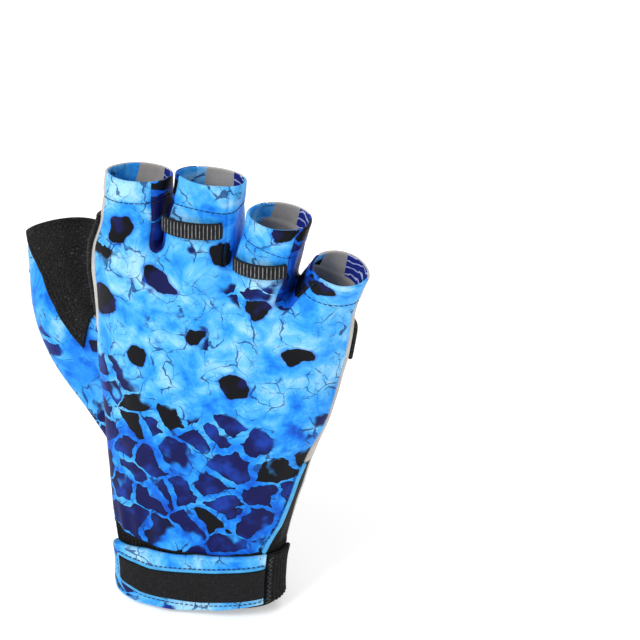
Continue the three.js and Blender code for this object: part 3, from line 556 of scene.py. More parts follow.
def finish_piece(piece, slot, *nodes):
    """The piece rides on the glove and stands for the named CAD nodes, which are hidden. The slot is not
    used.
    """
    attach(piece, "root")
    if nodes:
        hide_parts(*nodes)
    return piece


def smoothed(piece, levels):
    """Adds a Subdivision Surface with the same levels in the view and the render."""
    modifier = piece.modifiers.new("smooth", "SUBSURF")
    modifier.levels = modifier.render_levels = levels
    return piece


def panel(name, keep, materials, inside, edge=None):
    """A sewn panel: the kept faces, cut to the hem and the slit. Its outer skin sinks at the seams,
    its inner skin lies a wall's thickness under the cloth and laps over its neighbour's there, and
    walls close both along every edge. Inside gives each inner face's material."""
    faces, places, parts = hand_faces[keep], hand_places[keep], hand_parts[keep]
    used, faces = np.unique(faces, return_inverse=True)
    faces = faces.reshape(-1, 4)
    points, normals, rows = worn_points[used], worn_normals[used], rows_of_points[used]
    if edge is not None:
        u, v, palm = np.zeros(len(used)), np.full(len(used), -1.0), parts == 0
        u[faces[palm]], v[faces[palm]] = places[palm][..., 0], places[palm][..., 1]
        own = (v >= 2) & (v < SLIT_TOP_ROW)
        points[own], normals[own] = on_hand(palm_chart, *cut_places(u[own], v[own], edge))
        for part, grid in ((0, palm_chart), (4, finger_charts[3])):
            near = np.unique(faces[parts == part])
            u[faces[parts == part]], v[faces[parts == part]] = np.moveaxis(places[parts == part], -1, 0)
            moved = round_side(part, u[near], v[near])
            near, moved = near[moved != u[near]], moved[moved != u[near]]
            points[near], normals[near] = on_hand(grid, moved, v[near])
    _, which, is_open = edges_of(faces)
    sides = np.stack([faces, np.roll(faces, -1, 1)], -1)[is_open[which]]
    stall = stall_of_points[used]
    seam = np.zeros(len(used), bool)
    seam[sides] = True
    seam &= ~((stall & (rows > 2.99)) | (~stall & (rows < 2.01)))
    direction = unit(points[sides[:, 1]] - points[sides[:, 0]])
    along = gathered(sides, np.repeat(direction[:, None], 2, 1), len(used))
    inward = unit(np.cross(normals, along))
    inner = points - normals * WALL - seam[:, None] * inward * SEAM_LAP
    outer = points - seam[:, None] * normals * SEAM_SINK
    first, last = sides.T
    walls = np.stack([last, first, first + len(used), last + len(used)], 1)
    indices = np.concatenate([np.zeros(len(faces), int), inside[keep], np.zeros(len(walls), int)])
    shell = np.concatenate([faces, faces[:, ::-1] + len(used), walls])
    return smoothed(make(name, np.concatenate([outer, inner]), shell, materials, indices), 1)


rows_of_points = corner_places()[1]
stall_of_points = point_parts > 0
# How high a row of each part's chart is
stall_row_height = np.array([12, 9.3, 9.3, 9.5, 7.4, 15]) * MM
centre_u, centre_v = hand_places.mean(1).T
is_palm, is_thumb = hand_parts == 0, hand_parts == 5
is_finger = ~is_palm & ~is_thumb
above_hem = ~is_palm | (centre_v > 2)
on_back = is_palm & (centre_u > LEFT_EDGE_COLUMN) & (centre_u < RIGHT_EDGE_COLUMN)
on_back |= is_palm & (centre_u < LEFT_EDGE_COLUMN) & (centre_v < THUMB_ROWS[1])
on_back |= is_palm & (centre_u > COLUMNS - 1) & (centre_v > 3) & (centre_v < 4)
on_back |= is_thumb & (centre_u > 6)
on_back |= is_finger & (centre_u < 2)
between = [
    ((hand_parts == n) & (centre_u > 2) & (centre_u < 4)) | ((hand_parts == n + 1) & (centre_u > 6))
    for n in (1, 2, 3)
]
turned = ~is_palm & ((3 - centre_v) * stall_row_height[hand_parts] < TURNED_HEM)
on_strip = between[0] | between[1] | between[2]
on_flap = is_palm & (centre_u > RIGHT_EDGE_COLUMN) & (centre_u < RIGHT) & (centre_v < SLIT_TOP_ROW)
on_palm = ~on_back & ~on_strip & ~on_flap


def node(tree, kind, *values, out=0, to=None, **settings):
    """Adds a node and gives one of its outputs, which also goes to a socket where one is named. The
    values in order and the settings that bear an input's name are its inputs: numbers, colours or other
    nodes' outputs. The other settings are its own."""
    made = tree.nodes.new("ShaderNode" + kind)
    links = dict(enumerate(values))
    for key, value in settings.items():
        if key in made.inputs:
            links[key] = value
        else:
            setattr(made, key, value)
    for key, value in links.items():
        if isinstance(value, bpy.types.NodeSocket):
            tree.links.new(value, made.inputs[key])
        else:
            made.inputs[key].default_value = value
    if to is not None:
        tree.links.new(made.outputs[out], to)
    return made.outputs[out]


def blank(name, **sockets):
    """A material with its shader's own sockets set: the material, the shader, and the function that
    adds a node to it."""
    material = bpy.data.materials.new(name)
    material.use_nodes = True
    shader = material.node_tree.nodes["Principled BSDF"]
    for key, value in sockets.items():
        shader.inputs[key.replace("_", " ")].default_value = value
    return material, shader, partial(node, material.node_tree)


def drifted(add, where, size, by):
    """Places moved about by up to half of by metres, in patches of the given size."""
    cloud = add("TexNoise", where, Scale=1 / size, out="Color")
    shift = add("VectorMath", cloud, (0.5,) * 3, operation="SUBTRACT")
    return add("VectorMath", shift, (2 * by,) * 3, where, operation="MULTIPLY_ADD")


def knitted(add, where, pitch):
    """A fine knit: two crossed waves, each with one crest a pitch."""
    scale = np.pi / 10 / pitch
    across, up = (add("TexWave", where, Scale=scale, bands_direction=axis, out="Fac") for axis in "XZ")
    return add("Math", across, up, operation="MULTIPLY")


# Polyester and elastane jersey, dye-sublimated: saturated water blues with crackle lines, dark rounded
# cells and inky spots, a smooth face with a faint sheen. The knit is drawn at 0.9 mm, twice its real
# pitch, so that it shows.
KNIT_PITCH = 0.9 * MM
CRACKLE = 10 * MM
FINE_CRACKLE = 4.5 * MM
# Inky spots in a layout of its own: their count, the lowest left place and the reach they spread over
SPOT_COUNT = 12
SPOTS_FROM = (-44 * MM, 92 * MM)
SPOTS_OVER = (96 * MM, 76 * MM)
CELL_WIDTH = 13 * MM
CELL_HEIGHT = 11 * MM


def spot_layout():
    """The spots' x, z and two half axes in metres, and their turn in radians. They step up evenly,
    and each other value steps on by an uneven share and wraps round, so that nothing lines up."""
    n = np.arange(SPOT_COUNT)
    across, wide, tall, turn = (np.mod(n * step, 1) for step in (0.618, 0.755, 0.570, 0.819))
    x, z = SPOTS_FROM[0] + SPOTS_OVER[0] * across, SPOTS_FROM[1] + SPOTS_OVER[1] * (n + 0.5) / SPOT_COUNT
    return np.stack([x, z, (2.4 + 3.2 * wide) * MM, (3.2 + 4.0 * tall) * MM, np.pi * turn], -1).tolist()


def printed_jersey(name, shift, tint):
    """The print, from the palest layer to the darkest, as functions of the place on the glove. The
    shift moves its clouds, and the tint makes all of it darker, for the strips between the fingers."""
    material, shader, add = blank(name, Roughness=0.5, Specular_IOR_Level=0.12)
    where = add("TexCoord", out="Object")
    x, _, z = add("SeparateXYZ", where).node.outputs
    moved = add("VectorMath", where, (shift, 0, shift), operation="ADD")
    flowing = drifted(add, moved, 22 * MM, 9 * MM)
    rough = drifted(add, flowing, 5 * MM, 2.2 * MM)
    water = add("TexNoise", flowing, Scale=1 / (15 * MM), Detail=7.0, Roughness=0.62)
    rise = add(
        "MapRange", z, 45 * MM, 125 * MM, -0.10 - tint, 0.05 - tint, interpolation_type="SMOOTHSTEP",
    )
    colour = add("ValToRGB", add("Math", water, rise, operation="ADD"))
    stops = [(0.31, "0A50C2"), (0.40, "1179E8"), (0.48, "2F9DF5"), (0.57, "5CB9F9"), (0.70, "A4DAFA")]
    ramp = colour.node.color_ramp.elements
    while len(ramp) < len(stops):
        ramp.new(1.0)
    for element, (place, code) in zip(ramp, stops):
        element.position, element.color = place, srgb(code)

    broken = add(
        "MapRange", add("TexNoise", moved, Scale=1 / (15 * MM), Detail=3.0), 0.43, 0.52,
        interpolation_type="SMOOTHSTEP",
    )
    width = add(
        "MapRange", add("TexNoise", moved, Scale=1 / (6 * MM)), 0.35, 0.8, 0.006, 0.05,
        interpolation_type="SMOOTHSTEP",
    )
    for size, strength in ((CRACKLE, 0.8), (FINE_CRACKLE, 0.4)):
        line = add(
            "Math", add("TexVoronoi", rough, Scale=1 / size, feature="DISTANCE_TO_EDGE"), width,
            operation="LESS_THAN",
        )
        share = add(
            "Math", add("Math", line, broken, operation="MULTIPLY"), strength, operation="MULTIPLY"
        )
        colour = add("MixRGB", share, colour, srgb("14306F"))

    cells = add(
        "CombineXYZ", add("Math", x, CELL_WIDTH, operation="DIVIDE"),
        add("Math", z, CELL_HEIGHT, operation="DIVIDE"),
    )
    sway = add("TexNoise", moved, Scale=1 / (12 * MM), Detail=3.0, out="Color")
    cells = add("VectorMath", sway, (0.9, 0.9, 0.0), cells, operation="MULTIPLY_ADD")
    edge = add("TexVoronoi", cells, Scale=1.0, feature="DISTANCE_TO_EDGE", voronoi_dimensions="2D")
    low = add(
        "MapRange", z, 58 * MM, 116 * MM, 0.12 + tint, -0.16 + 2 * tint, interpolation_type="SMOOTHSTEP"
    )
    patchy = add("Math", add("TexNoise", moved, Scale=1 / (24 * MM), Detail=3.0), low, operation="ADD")
    dark = add("MapRange", patchy, 0.47, 0.52, interpolation_type="SMOOTHSTEP")
    gap = add(
        "MapRange", add("TexNoise", moved, Scale=1 / (9 * MM), Detail=2.0), 0.3, 0.7, 0.02, 0.17,
        interpolation_type="SMOOTHSTEP",
    )
    inside = add(
        "Math",
        add(
            "MapRange", add("Math", edge, gap, operation="SUBTRACT"), 0.0, 0.018,
            interpolation_type="SMOOTHSTEP",
        ),
        dark, operation="MULTIPLY",
    )
    cell = add("TexVoronoi", cells, Scale=1.0, voronoi_dimensions="2D", out="Color")
    cell = add("SeparateXYZ", cell)
    cloud = add("TexNoise", moved, Scale=1 / (10 * MM), Detail=3.0)
    navy = add(
        "MixRGB", add("MapRange", cloud, 0.45, 0.75, interpolation_type="SMOOTHSTEP"), srgb("0E1250"),
        srgb("173FA8"),
    )
    black = add("MapRange", cell, 0.66, 0.72, interpolation_type="SMOOTHSTEP")
    deep = add("MixRGB", black, navy, srgb("06070E"))
    rim = add(
        "MapRange", add("Math", edge, gap, operation="SUBTRACT"), 0.02, 0.05,
        interpolation_type="SMOOTHSTEP",
    )
    deep = add("MixRGB", rim, srgb("04050C"), deep)
    colour = add("MixRGB", inside, colour, deep)

    nearest = 9.0
    soft = drifted(add, where, 7 * MM, 3.0 * MM)
    for sx, sz, wide, tall, turn in spot_layout():
        own = add(
            "Mapping", soft, (sx, 0, sz), (0, turn, 0), (wide, 1.0, tall), vector_type="TEXTURE",
        )
        own = add("VectorMath", own, (1, 0, 1), operation="MULTIPLY")
        size = add("VectorMath", own, operation="LENGTH", out="Value")
        nearest = add("Math", size, nearest, operation="MINIMUM")
    front = add("NewGeometry", out="Normal")
    front = add(
        "MapRange", add("SeparateXYZ", front, out=1), -0.1, -0.3, interpolation_type="SMOOTHSTEP"
    )
    spot = add(
        "Math", add("MapRange", nearest, 1.03, 0.97, interpolation_type="SMOOTHSTEP"), front,
        operation="MULTIPLY",
    )
    halo = add(
        "Math",
        add(
            "Math", add("MapRange", nearest, 1.35, 1.0, interpolation_type="SMOOTHSTEP"), 0.5,
            operation="MULTIPLY",
        ),
        front, operation="MULTIPLY",
    )
    colour = add("MixRGB", halo, colour, srgb("0F4FC4"))
    inky = add(
        "MixRGB", add("MapRange", cloud, 0.5, 0.62, interpolation_type="SMOOTHSTEP"), srgb("08090F"),
        srgb("11154C"),
    )
    add("MixRGB", spot, colour, inky, to=shader.inputs["Base Color"])
    add(
        "Bump", Height=knitted(add, where, KNIT_PITCH), Distance=0.05 * MM, Strength=0.5,
        to=shader.inputs["Normal"],
    )
    return material


# The wrong side of the same jersey in the finger strips: dark blue with pale wavy lines
def wavy_reverse():
    """Dark blue crossed by thin pale lines, one every 3 mm, that wander."""
    material, shader, add = blank("jersey_reverse", Roughness=0.7, Specular_IOR_Level=0.2)
    where = drifted(add, add("TexCoord", out="Object"), 5 * MM, 2.5 * MM)
    wave = add("TexWave", where, Scale=np.pi / 10 / (3 * MM), bands_direction="Z", out="Fac")
    line = add("MapRange", wave, 0.86, 0.94, interpolation_type="SMOOTHSTEP")
    add("MixRGB", line, srgb("1D2A86"), srgb("B7C4E8"), to=shader.inputs["Base Color"])
    return material


# Brushed microfibre, laminated inside the print: pale lilac, matt and soft
def brushed_lining():
    """A cloudy lilac with a fine nap."""
    material, shader, add = blank("brushed_lining", Roughness=0.9, Specular_IOR_Level=0.2)
    where = add("TexCoord", out="Object")
    cloud = add("TexNoise", where, Scale=1 / (9 * MM), Detail=3.0)
    add("MixRGB", cloud, srgb("A9AACB"), srgb("CFD0E4"), to=shader.inputs["Base Color"])
    add(
        "Bump", Height=add("TexNoise", where, Scale=1 / (0.8 * MM), Detail=3.0), Distance=0.1 * MM,
        to=shader.inputs["Normal"],
    )
    return material


# Synthetic suede, a napped microfibre: warm pale grey, with cloudy marks where the nap lies over
def napped_suede(name, dark, light):
    """Cloudy grey with a short nap of about 0.7 mm, drawn coarser than the real one so that it shows."""
    material, shader, add = blank(name, Roughness=0.92, Specular_IOR_Level=0.2, Sheen_Weight=0.1)
    where = add("TexCoord", out="Object")
    cloud = add("TexNoise", where, Scale=1 / (16 * MM), Detail=5.0, Roughness=0.65)
    nap = add("TexNoise", where, Scale=1 / (0.9 * MM), Detail=3.0, Roughness=0.7)
    share = add(
        "MapRange", add("Math", nap, 0.35, cloud, operation="MULTIPLY_ADD"), 0.45, 0.9,
        interpolation_type="SMOOTHSTEP",
    )
    add("MixRGB", share, srgb(dark), srgb(light), to=shader.inputs["Base Color"])
    add("Bump", Height=nap, Distance=0.12 * MM, to=shader.inputs["Normal"])
    return material


jersey = printed_jersey("printed_jersey", 0.0, 0.0)
strap_jersey = printed_jersey("printed_jersey_strap", 0.05, -0.17)
dark_jersey = printed_jersey("printed_jersey_dark", 0.11, 0.24)
reverse = wavy_reverse()
lining = brushed_lining()
suede = napped_suede("napped_suede", "B4AFA9", "C9C5C0")
suede_inside = napped_suede("suede_inner_face", "9C968E", "B5AFA7")

# Inside each finger's mouth the print shows on the thumb's side and its wrong side across from there
inside = np.where(turned, 0, 1)
back_panel = panel("back_panel_cloth", on_back & above_hem, [jersey, lining], inside, BACK_HEM)
finish_piece(back_panel, "printed_fabric", "back_panel")
inside = np.where(turned & is_finger & (centre_u > 5.6), 2, 1)
inside[turned & is_finger & (centre_u < 4.5)] = 3
finishes = [suede, suede_inside, jersey, reverse]
palm_panel = panel("palm_panel_suede", on_palm & above_hem, finishes, inside, PALM_HEM)
finish_piece(palm_panel, "suede", "palm_panel")
prints = (dark_jersey, jersey, dark_jersey)
for label, strip, print_ in zip(("index_middle", "middle_ring", "ring_little"), between, prints):
    gusset = panel(f"gusset_{label}", strip, [print_, reverse, jersey], np.where(centre_u > 6, 2, 1))
    finish_piece(gusset, "printed_fabric", f"fourchette_{label}")


# The grip patches: the band under the fingers, the heel, the index finger's side and the thumb.
# Pebbled synthetic leather with its edges pared thin and turned, stitched down 1.8 mm inside them.

LAYER_GAP = 0.3 * MM
PATCH_THICKNESS = 1.2 * MM
EDGE_ROLL = 0.7 * MM
STITCH_INSET = 1.8 * MM
STITCH_GROOVE = 0.35 * MM
PEBBLE = 1.3 * MM
GRID_STEP = 1.1 * MM
EDGE_STEPS = np.array([0, 0.08, 0.22, 0.42, 0.7, 1.1, 1.45, 1.65, 1.8, 1.95, 2.2, 2.7]) * MM


def spaced(length, step=GRID_STEP):
    """Shares from 0 to 1 along a length: close together by both ends, a step apart between them."""
    edge = EDGE_STEPS * min(1.0, length / 2.6 / EDGE_STEPS[-1])
    count = max(2, int((length - 2 * edge[-1]) / step) + 1)
    inner = np.linspace(edge[-1], length - edge[-1], count)
    return np.concatenate([edge, inner[1:-1], length - edge[::-1]]) / length


def quads(ids):
    """The four-sided faces of a grid of point numbers, columns to the right and rows up."""
    corners = [ids[:-1, :-1], ids[:-1, 1:], ids[1:, 1:], ids[1:, :-1]]
    return np.stack(corners, -1).reshape(-1, 4)


def packed(points, faces):
    """Only the points that the faces use."""
    used, faces = np.unique(faces, return_inverse=True)
    return points[used], faces.reshape(-1, 4)


def frame_of(grid):
    """A grid's outer ring of cells, once round, anticlockwise from its first corner."""
    return np.concatenate([grid[0, :-1], grid[:-1, -1], grid[-1, :0:-1], grid[:0:-1, 0]])


def distance_to(points, line):
    """How far each point is from the nearest point of a closed line, filled in to 0.4 mm steps."""
    ends = np.roll(line, -1, 0)
    t = np.linspace(0, 1, 5)[:-1, None, None]
    dense = (line + (ends - line) * t).reshape(-1, 3)
    flat = points.reshape(-1, 3)
    near = np.concatenate([
        np.sqrt(((part[:, None] - dense) ** 2).sum(-1).min(1)) for part in np.array_split(flat, 24)
    ])
    return near.reshape(points.shape[:-1])


def raised(points, normals, lift, thickness, roll=EDGE_ROLL, groove=STITCH_GROOVE):
    """A closed layer on the cloth: its top rises from the rim as a quarter circle, sinks by the
    groove where it is stitched, and lies level inside. The bottom keeps the lift."""
    rim = frame_of(points)
    away = distance_to(points, rim)
    rise = thickness * np.sqrt(1 - (1 - np.minimum(away / roll, 1)) ** 2)
    rise -= groove * np.exp(-(((away - STITCH_INSET) / (0.4 * MM)) ** 2))
    top = points + normals * (lift + rise)[..., None]
    bottom = points + normals * lift
    ids = np.arange(away.size).reshape(away.shape)
    low = ids + away.size
    for side in (np.s_[0], np.s_[-1], np.s_[:, 0], np.s_[:, -1]):
        low[side] = ids[side]
        top[side] = bottom[side]
    faces = np.concatenate([quads(ids), quads(low)[:, ::-1]])
    return packed(np.concatenate([top.reshape(-1, 3), bottom.reshape(-1, 3)]), faces)


def find(grid, x, z, u, v, last):
    """The columns, up to the last, and rows where the cloth has the given x and z: Newton's steps."""
    for _ in range(16):
        here, right, up = (on_hand(grid, *at)[0] for at in ((u, v), (u + 0.1, v), (u, v + 0.1)))
        a, b = (right - here) / 0.1, (up - here) / 0.1
        miss_x, miss_z = x - here[..., 0], z - here[..., 2]
        area = a[..., 0] * b[..., 2] - b[..., 0] * a[..., 2]
        step_u = (miss_x * b[..., 2] - miss_z * b[..., 0]) / area
        step_v = (a[..., 0] * miss_z - a[..., 2] * miss_x) / area
        u = np.clip(u + np.clip(step_u, -0.5, 0.5), RIGHT, last - 0.11)
        v = np.clip(v + np.clip(step_v, -0.5, 0.5), 0, ROWS - 0.11)
    return u, v


# Pebbled synthetic leather: near black and matt, with a painted highlight speckled on its grains' tops
def pebbled_leather():
    """Rounded grains of about a millimetre: the height is the distance from each cell's border. It also
    paints the grooves near black as shade, and the tops carry a painted highlight.
    """
    material, shader, add = blank("pebbled_leather", Roughness=0.6, Specular_IOR_Level=0.28)
    where = drifted(add, add("TexCoord", out="Object"), 3 * MM, 0.7 * MM)
    height = add(
        "MapRange", add("TexVoronoi", where, Scale=1 / PEBBLE, feature="DISTANCE_TO_EDGE"), 0.02, 0.42,
        interpolation_type="SMOOTHSTEP",
    )
    # The painted highlight: a fine pale speckle on the grains' tops, its strength varied in patches
    highlight_patches = add("TexNoise", where, Scale=1 / (14 * MM), Detail=3.0)
    grain = add("TexNoise", where, Scale=1 / (0.9 * MM), Detail=2.0)
    pale = add(
        "Math", add("MapRange", grain, 0.48, 0.66, interpolation_type="SMOOTHSTEP"),
        add("MapRange", highlight_patches, 0.3, 0.7, 0.35, 0.9, interpolation_type="SMOOTHSTEP"),
        operation="MULTIPLY",
    )
    top = add("MixRGB", pale, srgb("1B1A1B"), srgb("575557"))
    # Painted shade: the grooves between the grains are near black, and the tops take the speckled colour
    # with its painted highlight
    add("MixRGB", height, srgb("060607"), top, to=shader.inputs["Base Color"])
    add("Bump", Height=height, Distance=0.9 * MM, to=shader.inputs["Normal"])
    return material


pebbled = pebbled_leather()

# The band: columns, and the heights of its lower and upper edges in mm
BAND_LOW = np.array([(9.6, 109.0), (10.8, 105.0), (12.3, 102.8), (17.3, 111.8), (17.5, 116.3)])
BAND_HIGH = np.array([
    (9.6, 124.5), (10.7, 127.5), (13.0, 131.3), (16.5, 135.8), (17.04, 132.0), (17.5, 123.0),
])
BAND_ENDS = (9.95, 17.5)
band_length, band_height = 82 * MM, 24 * MM
band_u = mix(*BAND_ENDS, spaced(band_length))[None]
band_t = spaced(band_height)[:, None]
band_z = mix(np.interp(band_u, *BAND_LOW.T), np.interp(band_u, *BAND_HIGH.T), band_t) * MM
band_u = np.broadcast_to(band_u, band_z.shape)
band_place = on_hand(palm_chart, band_u, row_at(palm_chart, band_u, band_z, 6.5))

# The heel: x as shares of the half width and z of the webs' height, from the little finger's side.
# A narrow notch runs up from its lower edge.
NOTCH = (0.46, 0.459, 0.371, 0.37)
HEEL_LOW = np.array([
    (0.80, 0.60), (0.78, 0.46), (0.72, 0.33), (0.58, 0.20), (NOTCH[0], 0.185), (NOTCH[1], 0.305),
    (0.42, 0.318), (NOTCH[2], 0.305), (NOTCH[3], 0.175), (0.33, 0.165), (-0.06, 0.165), (-0.13, 0.175),
    (-0.55, 0.465), (-0.57, 0.50),
])
HEEL_HIGH = np.array([
    (0.80, 0.60), (0.76, 0.625), (0.30, 0.655), (-0.28, 0.70), (-0.36, 0.69), (-0.57, 0.575),
])
heel_x = 0.80 - 1.37 * spaced(68 * MM)
notch_sides = ((NOTCH[0], 1), (NOTCH[-1], -1))
beside_notch = [wall + side * EDGE_STEPS[1:-1] / HALF_WIDTH for wall, side in notch_sides]
heel_x = np.unique(np.concatenate([heel_x, NOTCH, *beside_notch]))[::-1][None]
heel_t = spaced(58 * MM)[:, None]
heel_low = np.interp(heel_x, *HEEL_LOW[::-1].T)
heel_z = mix(heel_low, np.interp(heel_x, *HEEL_HIGH[::-1].T), heel_t) * WEB_HEIGHT
heel_x = np.broadcast_to(heel_x * HALF_WIDTH, heel_z.shape)
# The first guess counts columns and rows of their mean size, from the little finger's side of the hem
first_u, first_v = RIGHT + (46 * MM - heel_x) / (9.8 * MM), 2 + heel_z / (24 * MM)
heel_u, heel_v = find(palm_chart, heel_x, heel_z, first_u, first_v, 18)
heel_place = on_hand(palm_chart, heel_u, heel_v)

# The index finger's side: one chart of the palm's last columns and the finger's outer side above
side_chart = np.vstack([
    np.hstack([palm_chart[7 * STEP :, 17 * STEP : -1], palm_chart[7 * STEP :, : STEP + 1]]),
    finger_charts[0][1:, 4 * STEP :],
])
side_v = (0.12 + 3.2 * spaced(56 * MM))[:, None]
side_t = spaced(17 * MM)[None]
side_in = np.interp(side_v, [0.12, 0.6, 2.0, 3.3], [1.0, 0.92, 0.9, 1.05])
side_out = np.interp(side_v, [0.12, 0.9, 2.0, 2.6, 3.3], [3.1, 3.5, 3.88, 3.9, 3.85])
side_u = mix(side_in, side_out, side_t)
side_place = on_hand(side_chart, side_u, np.broadcast_to(side_v, side_u.shape))

# The thumb: its edges' columns by row, with a tail that runs down towards the wrist
thumb_v = (0.60 + 2.395 * spaced(46 * MM))[:, None]
thumb_t = spaced(36 * MM)[None]
thumb_left = np.interp(thumb_v, [0.58, 1.06, 1.5, 2.14, 2.95], [8.77, 8.84, 8.81, 8.57, 7.82])
thumb_right = np.interp(thumb_v, [0.6, 0.73, 1.51, 2.65, 2.95], [10.2, 10.32, 10.72, 11.07, 11.12])
thumb_u = mix(thumb_left, thumb_right, thumb_t)
thumb_place = on_hand(thumb_chart, thumb_u, np.broadcast_to(thumb_v, thumb_u.shape))

patch_places = {"band": band_place, "heel": heel_place, "index_side": side_place, "thumb": thumb_place}
for label, place in patch_places.items():
    patch = make(f"grip_{label}", *raised(*place, LAYER_GAP, PATCH_THICKNESS), [pebbled])
    finish_piece(patch, "grip_patch", f"{label}_patch")


# The thread: each stitch is a short arched bar of twisted polyester, sunk at both ends.

THREAD_RADIUS = 0.2 * MM
THREAD_SIDES = 6
STITCH_PITCH = 2.3 * MM
STITCH_SHARE = 0.74
STITCH_LIFT = 0.05 * MM


def evenly(points, pitch):
    """A line's places at even steps of about the pitch."""
    length = np.concatenate([[0], np.cumsum(np.linalg.norm(np.diff(points, axis=0), axis=1))])
    steps = np.linspace(0, length[-1], max(2, int(round(length[-1] / pitch)) + 1))
    return np.column_stack([np.interp(steps, length, axis) for axis in points.T])


def stitched(runs, pitch=STITCH_PITCH, radius=THREAD_RADIUS, share=STITCH_SHARE):
    """Stitches along lines. A stitch is a round bar whose radius closes to nothing at its ends, and
    its middle arches up by the radius. Each run is a line's points with their normals."""
    turn = np.arange(THREAD_SIDES) / THREAD_SIDES * 2 * np.pi
    along = np.array([-0.5, -0.46, -0.3, 0.0, 0.3, 0.46, 0.5]) * share * pitch
    round_off = np.array([0.05, 0.6, 1.0, 1.0, 1.0, 0.6, 0.05]) * radius
    arch = radius * (0.7 - 1.6 * (along / (share * pitch)) ** 2)
    every = []
    for points, normals in runs:
        both = evenly(np.hstack([points, normals * MM]), pitch)
        at, up = both[:, :3], unit(both[:, 3:])
        tangent = unit(np.diff(at, axis=0))
        middle, up = (at[1:] + at[:-1]) / 2, unit(up[1:] + up[:-1])
        side = unit(np.cross(tangent, up))
        rings = (
            middle[:, None, None] + tangent[:, None, None] * along[:, None, None]
            + side[:, None, None] * (round_off[:, None] * np.cos(turn))[..., None]
            + up[:, None, None] * (arch[:, None] + round_off[:, None] * np.sin(turn))[..., None]
        )
        every.append(rings.reshape(-1, 3))
    points = np.concatenate(every)
    ids = np.arange(len(along) * THREAD_SIDES).reshape(-1, THREAD_SIDES)
    cap = np.array([[0, 1, 2, 3], [0, 3, 4, 5]])
    caps = np.concatenate([cap, cap[:, ::-1] + ids[-1, 0]])
    starts = np.arange(0, len(points), ids.size)[:, None, None]
    faces = quads(np.hstack([ids, ids[:, :1]]))[:, ::-1]
    return points, np.concatenate([(faces + starts).reshape(-1, 4), (caps + starts).reshape(-1, 4)])


# Twisted polyester sewing thread: satin, its twist too fine to show
def thread(name, code):
    """One colour, broken a little from stitch to stitch."""
    material, shader, add = blank(name, Roughness=0.55, Specular_IOR_Level=0.25)
    shade = add("TexNoise", add("TexCoord", out="Object"), Scale=1 / (2 * MM))
    dark = srgb(code)
    light = (*(min(1.0, 1.5 * value + 0.01) for value in dark[:3]), 1.0)
    add("MixRGB", shade, dark, light, to=shader.inputs["Base Color"])
    return material


def inset_run(points, normals, inset, lift):
    """The line that runs a given distance inside a layer's rim, lifted off the cloth. Places that
    cut a corner, nearer to the rim than the inset, are left out."""
    rim, up = frame_of(points), frame_of(normals)
    ahead = unit(np.roll(rim, -1, 0) - np.roll(rim, 1, 0))
    line = rim + unit(np.cross(up, ahead)) * inset
    kept = distance_to(line, rim) > 0.93 * inset
    line, up = line[kept], up[kept]
    line, up = np.vstack([line, line[:1]]), np.vstack([up, up[:1]])
    return line + up * lift, up


def hem_run(grid, columns, row):
    """A line along a row of a chart, just on the cloth."""
    u = np.linspace(*columns, 120)
    points, normals = on_hand(grid, u, np.full(u.shape, row))
    return points + normals * STITCH_LIFT, normals


black_thread = thread("black_polyester_thread", "101011")
grey_thread = thread("grey_polyester_thread", "8F8A85")
navy_thread = thread("navy_polyester_thread", "0B1A3C")

patch_top = LAYER_GAP + PATCH_THICKNESS - STITCH_GROOVE
patch_runs = [inset_run(*place, STITCH_INSET, patch_top) for place in patch_places.values()]
patch_runs.append(inset_run(*thumb_place, STITCH_INSET + 1.6 * MM, LAYER_GAP + PATCH_THICKNESS))
sewing = make("patch_stitching", *stitched(patch_runs), [black_thread])
finish_piece(sewing, "grip_patch")

hems = [(grid, row) for grid, row in zip(finger_charts, HEM_ROWS[1:5])]
printed_runs = [hem_run(grid, (-0.02, 4.0), row) for grid, row in hems]
printed_runs += [hem_run(grid, (6.0, 8.0), row) for grid, row in hems[1:]]
printed_runs.append(hem_run(thumb_chart, (6.05, 7.7), HEM_ROWS[5]))
sewing = make("hem_stitching", *stitched(printed_runs, 2.0 * MM, 0.17 * MM, 0.9), [navy_thread])
finish_piece(sewing, "printed_fabric")

suede_runs = [hem_run(grid, (4.03, 5.97), row + more) for grid, row in hems for more in (0.0, 0.2)]
suede_runs += [hem_run(thumb_chart, (1.2, 5.95), HEM_ROWS[5] + more) for more in (0.0, 0.12)]
sewing = make("suede_stitching", *stitched(suede_runs, 1.9 * MM, 0.16 * MM), [grey_thread])
finish_piece(sewing, "suede")


# The cuff: a band of black two-by-two rib knit round the wrist, folded double at its lower edge and
# sewn under the hems of the back and the palm.

RIB_COUNT = 96
RIB_HEIGHT = 0.32 * MM
CUFF_WALL = 1.2 * MM
CUFF_UNDER = 0.35 * MM
CUFF_COLUMNS = RIB_COUNT * 8
CUFF_ROWS_OUTSIDE = 26
CUFF_ROWS_INSIDE = 10
CUFF_FOOT = 0.9 * MM
RIB_SINK = 0.4 * MM
COURSE_PITCH = 1.1 * MM
COURSE_HEIGHT = 0.06 * MM


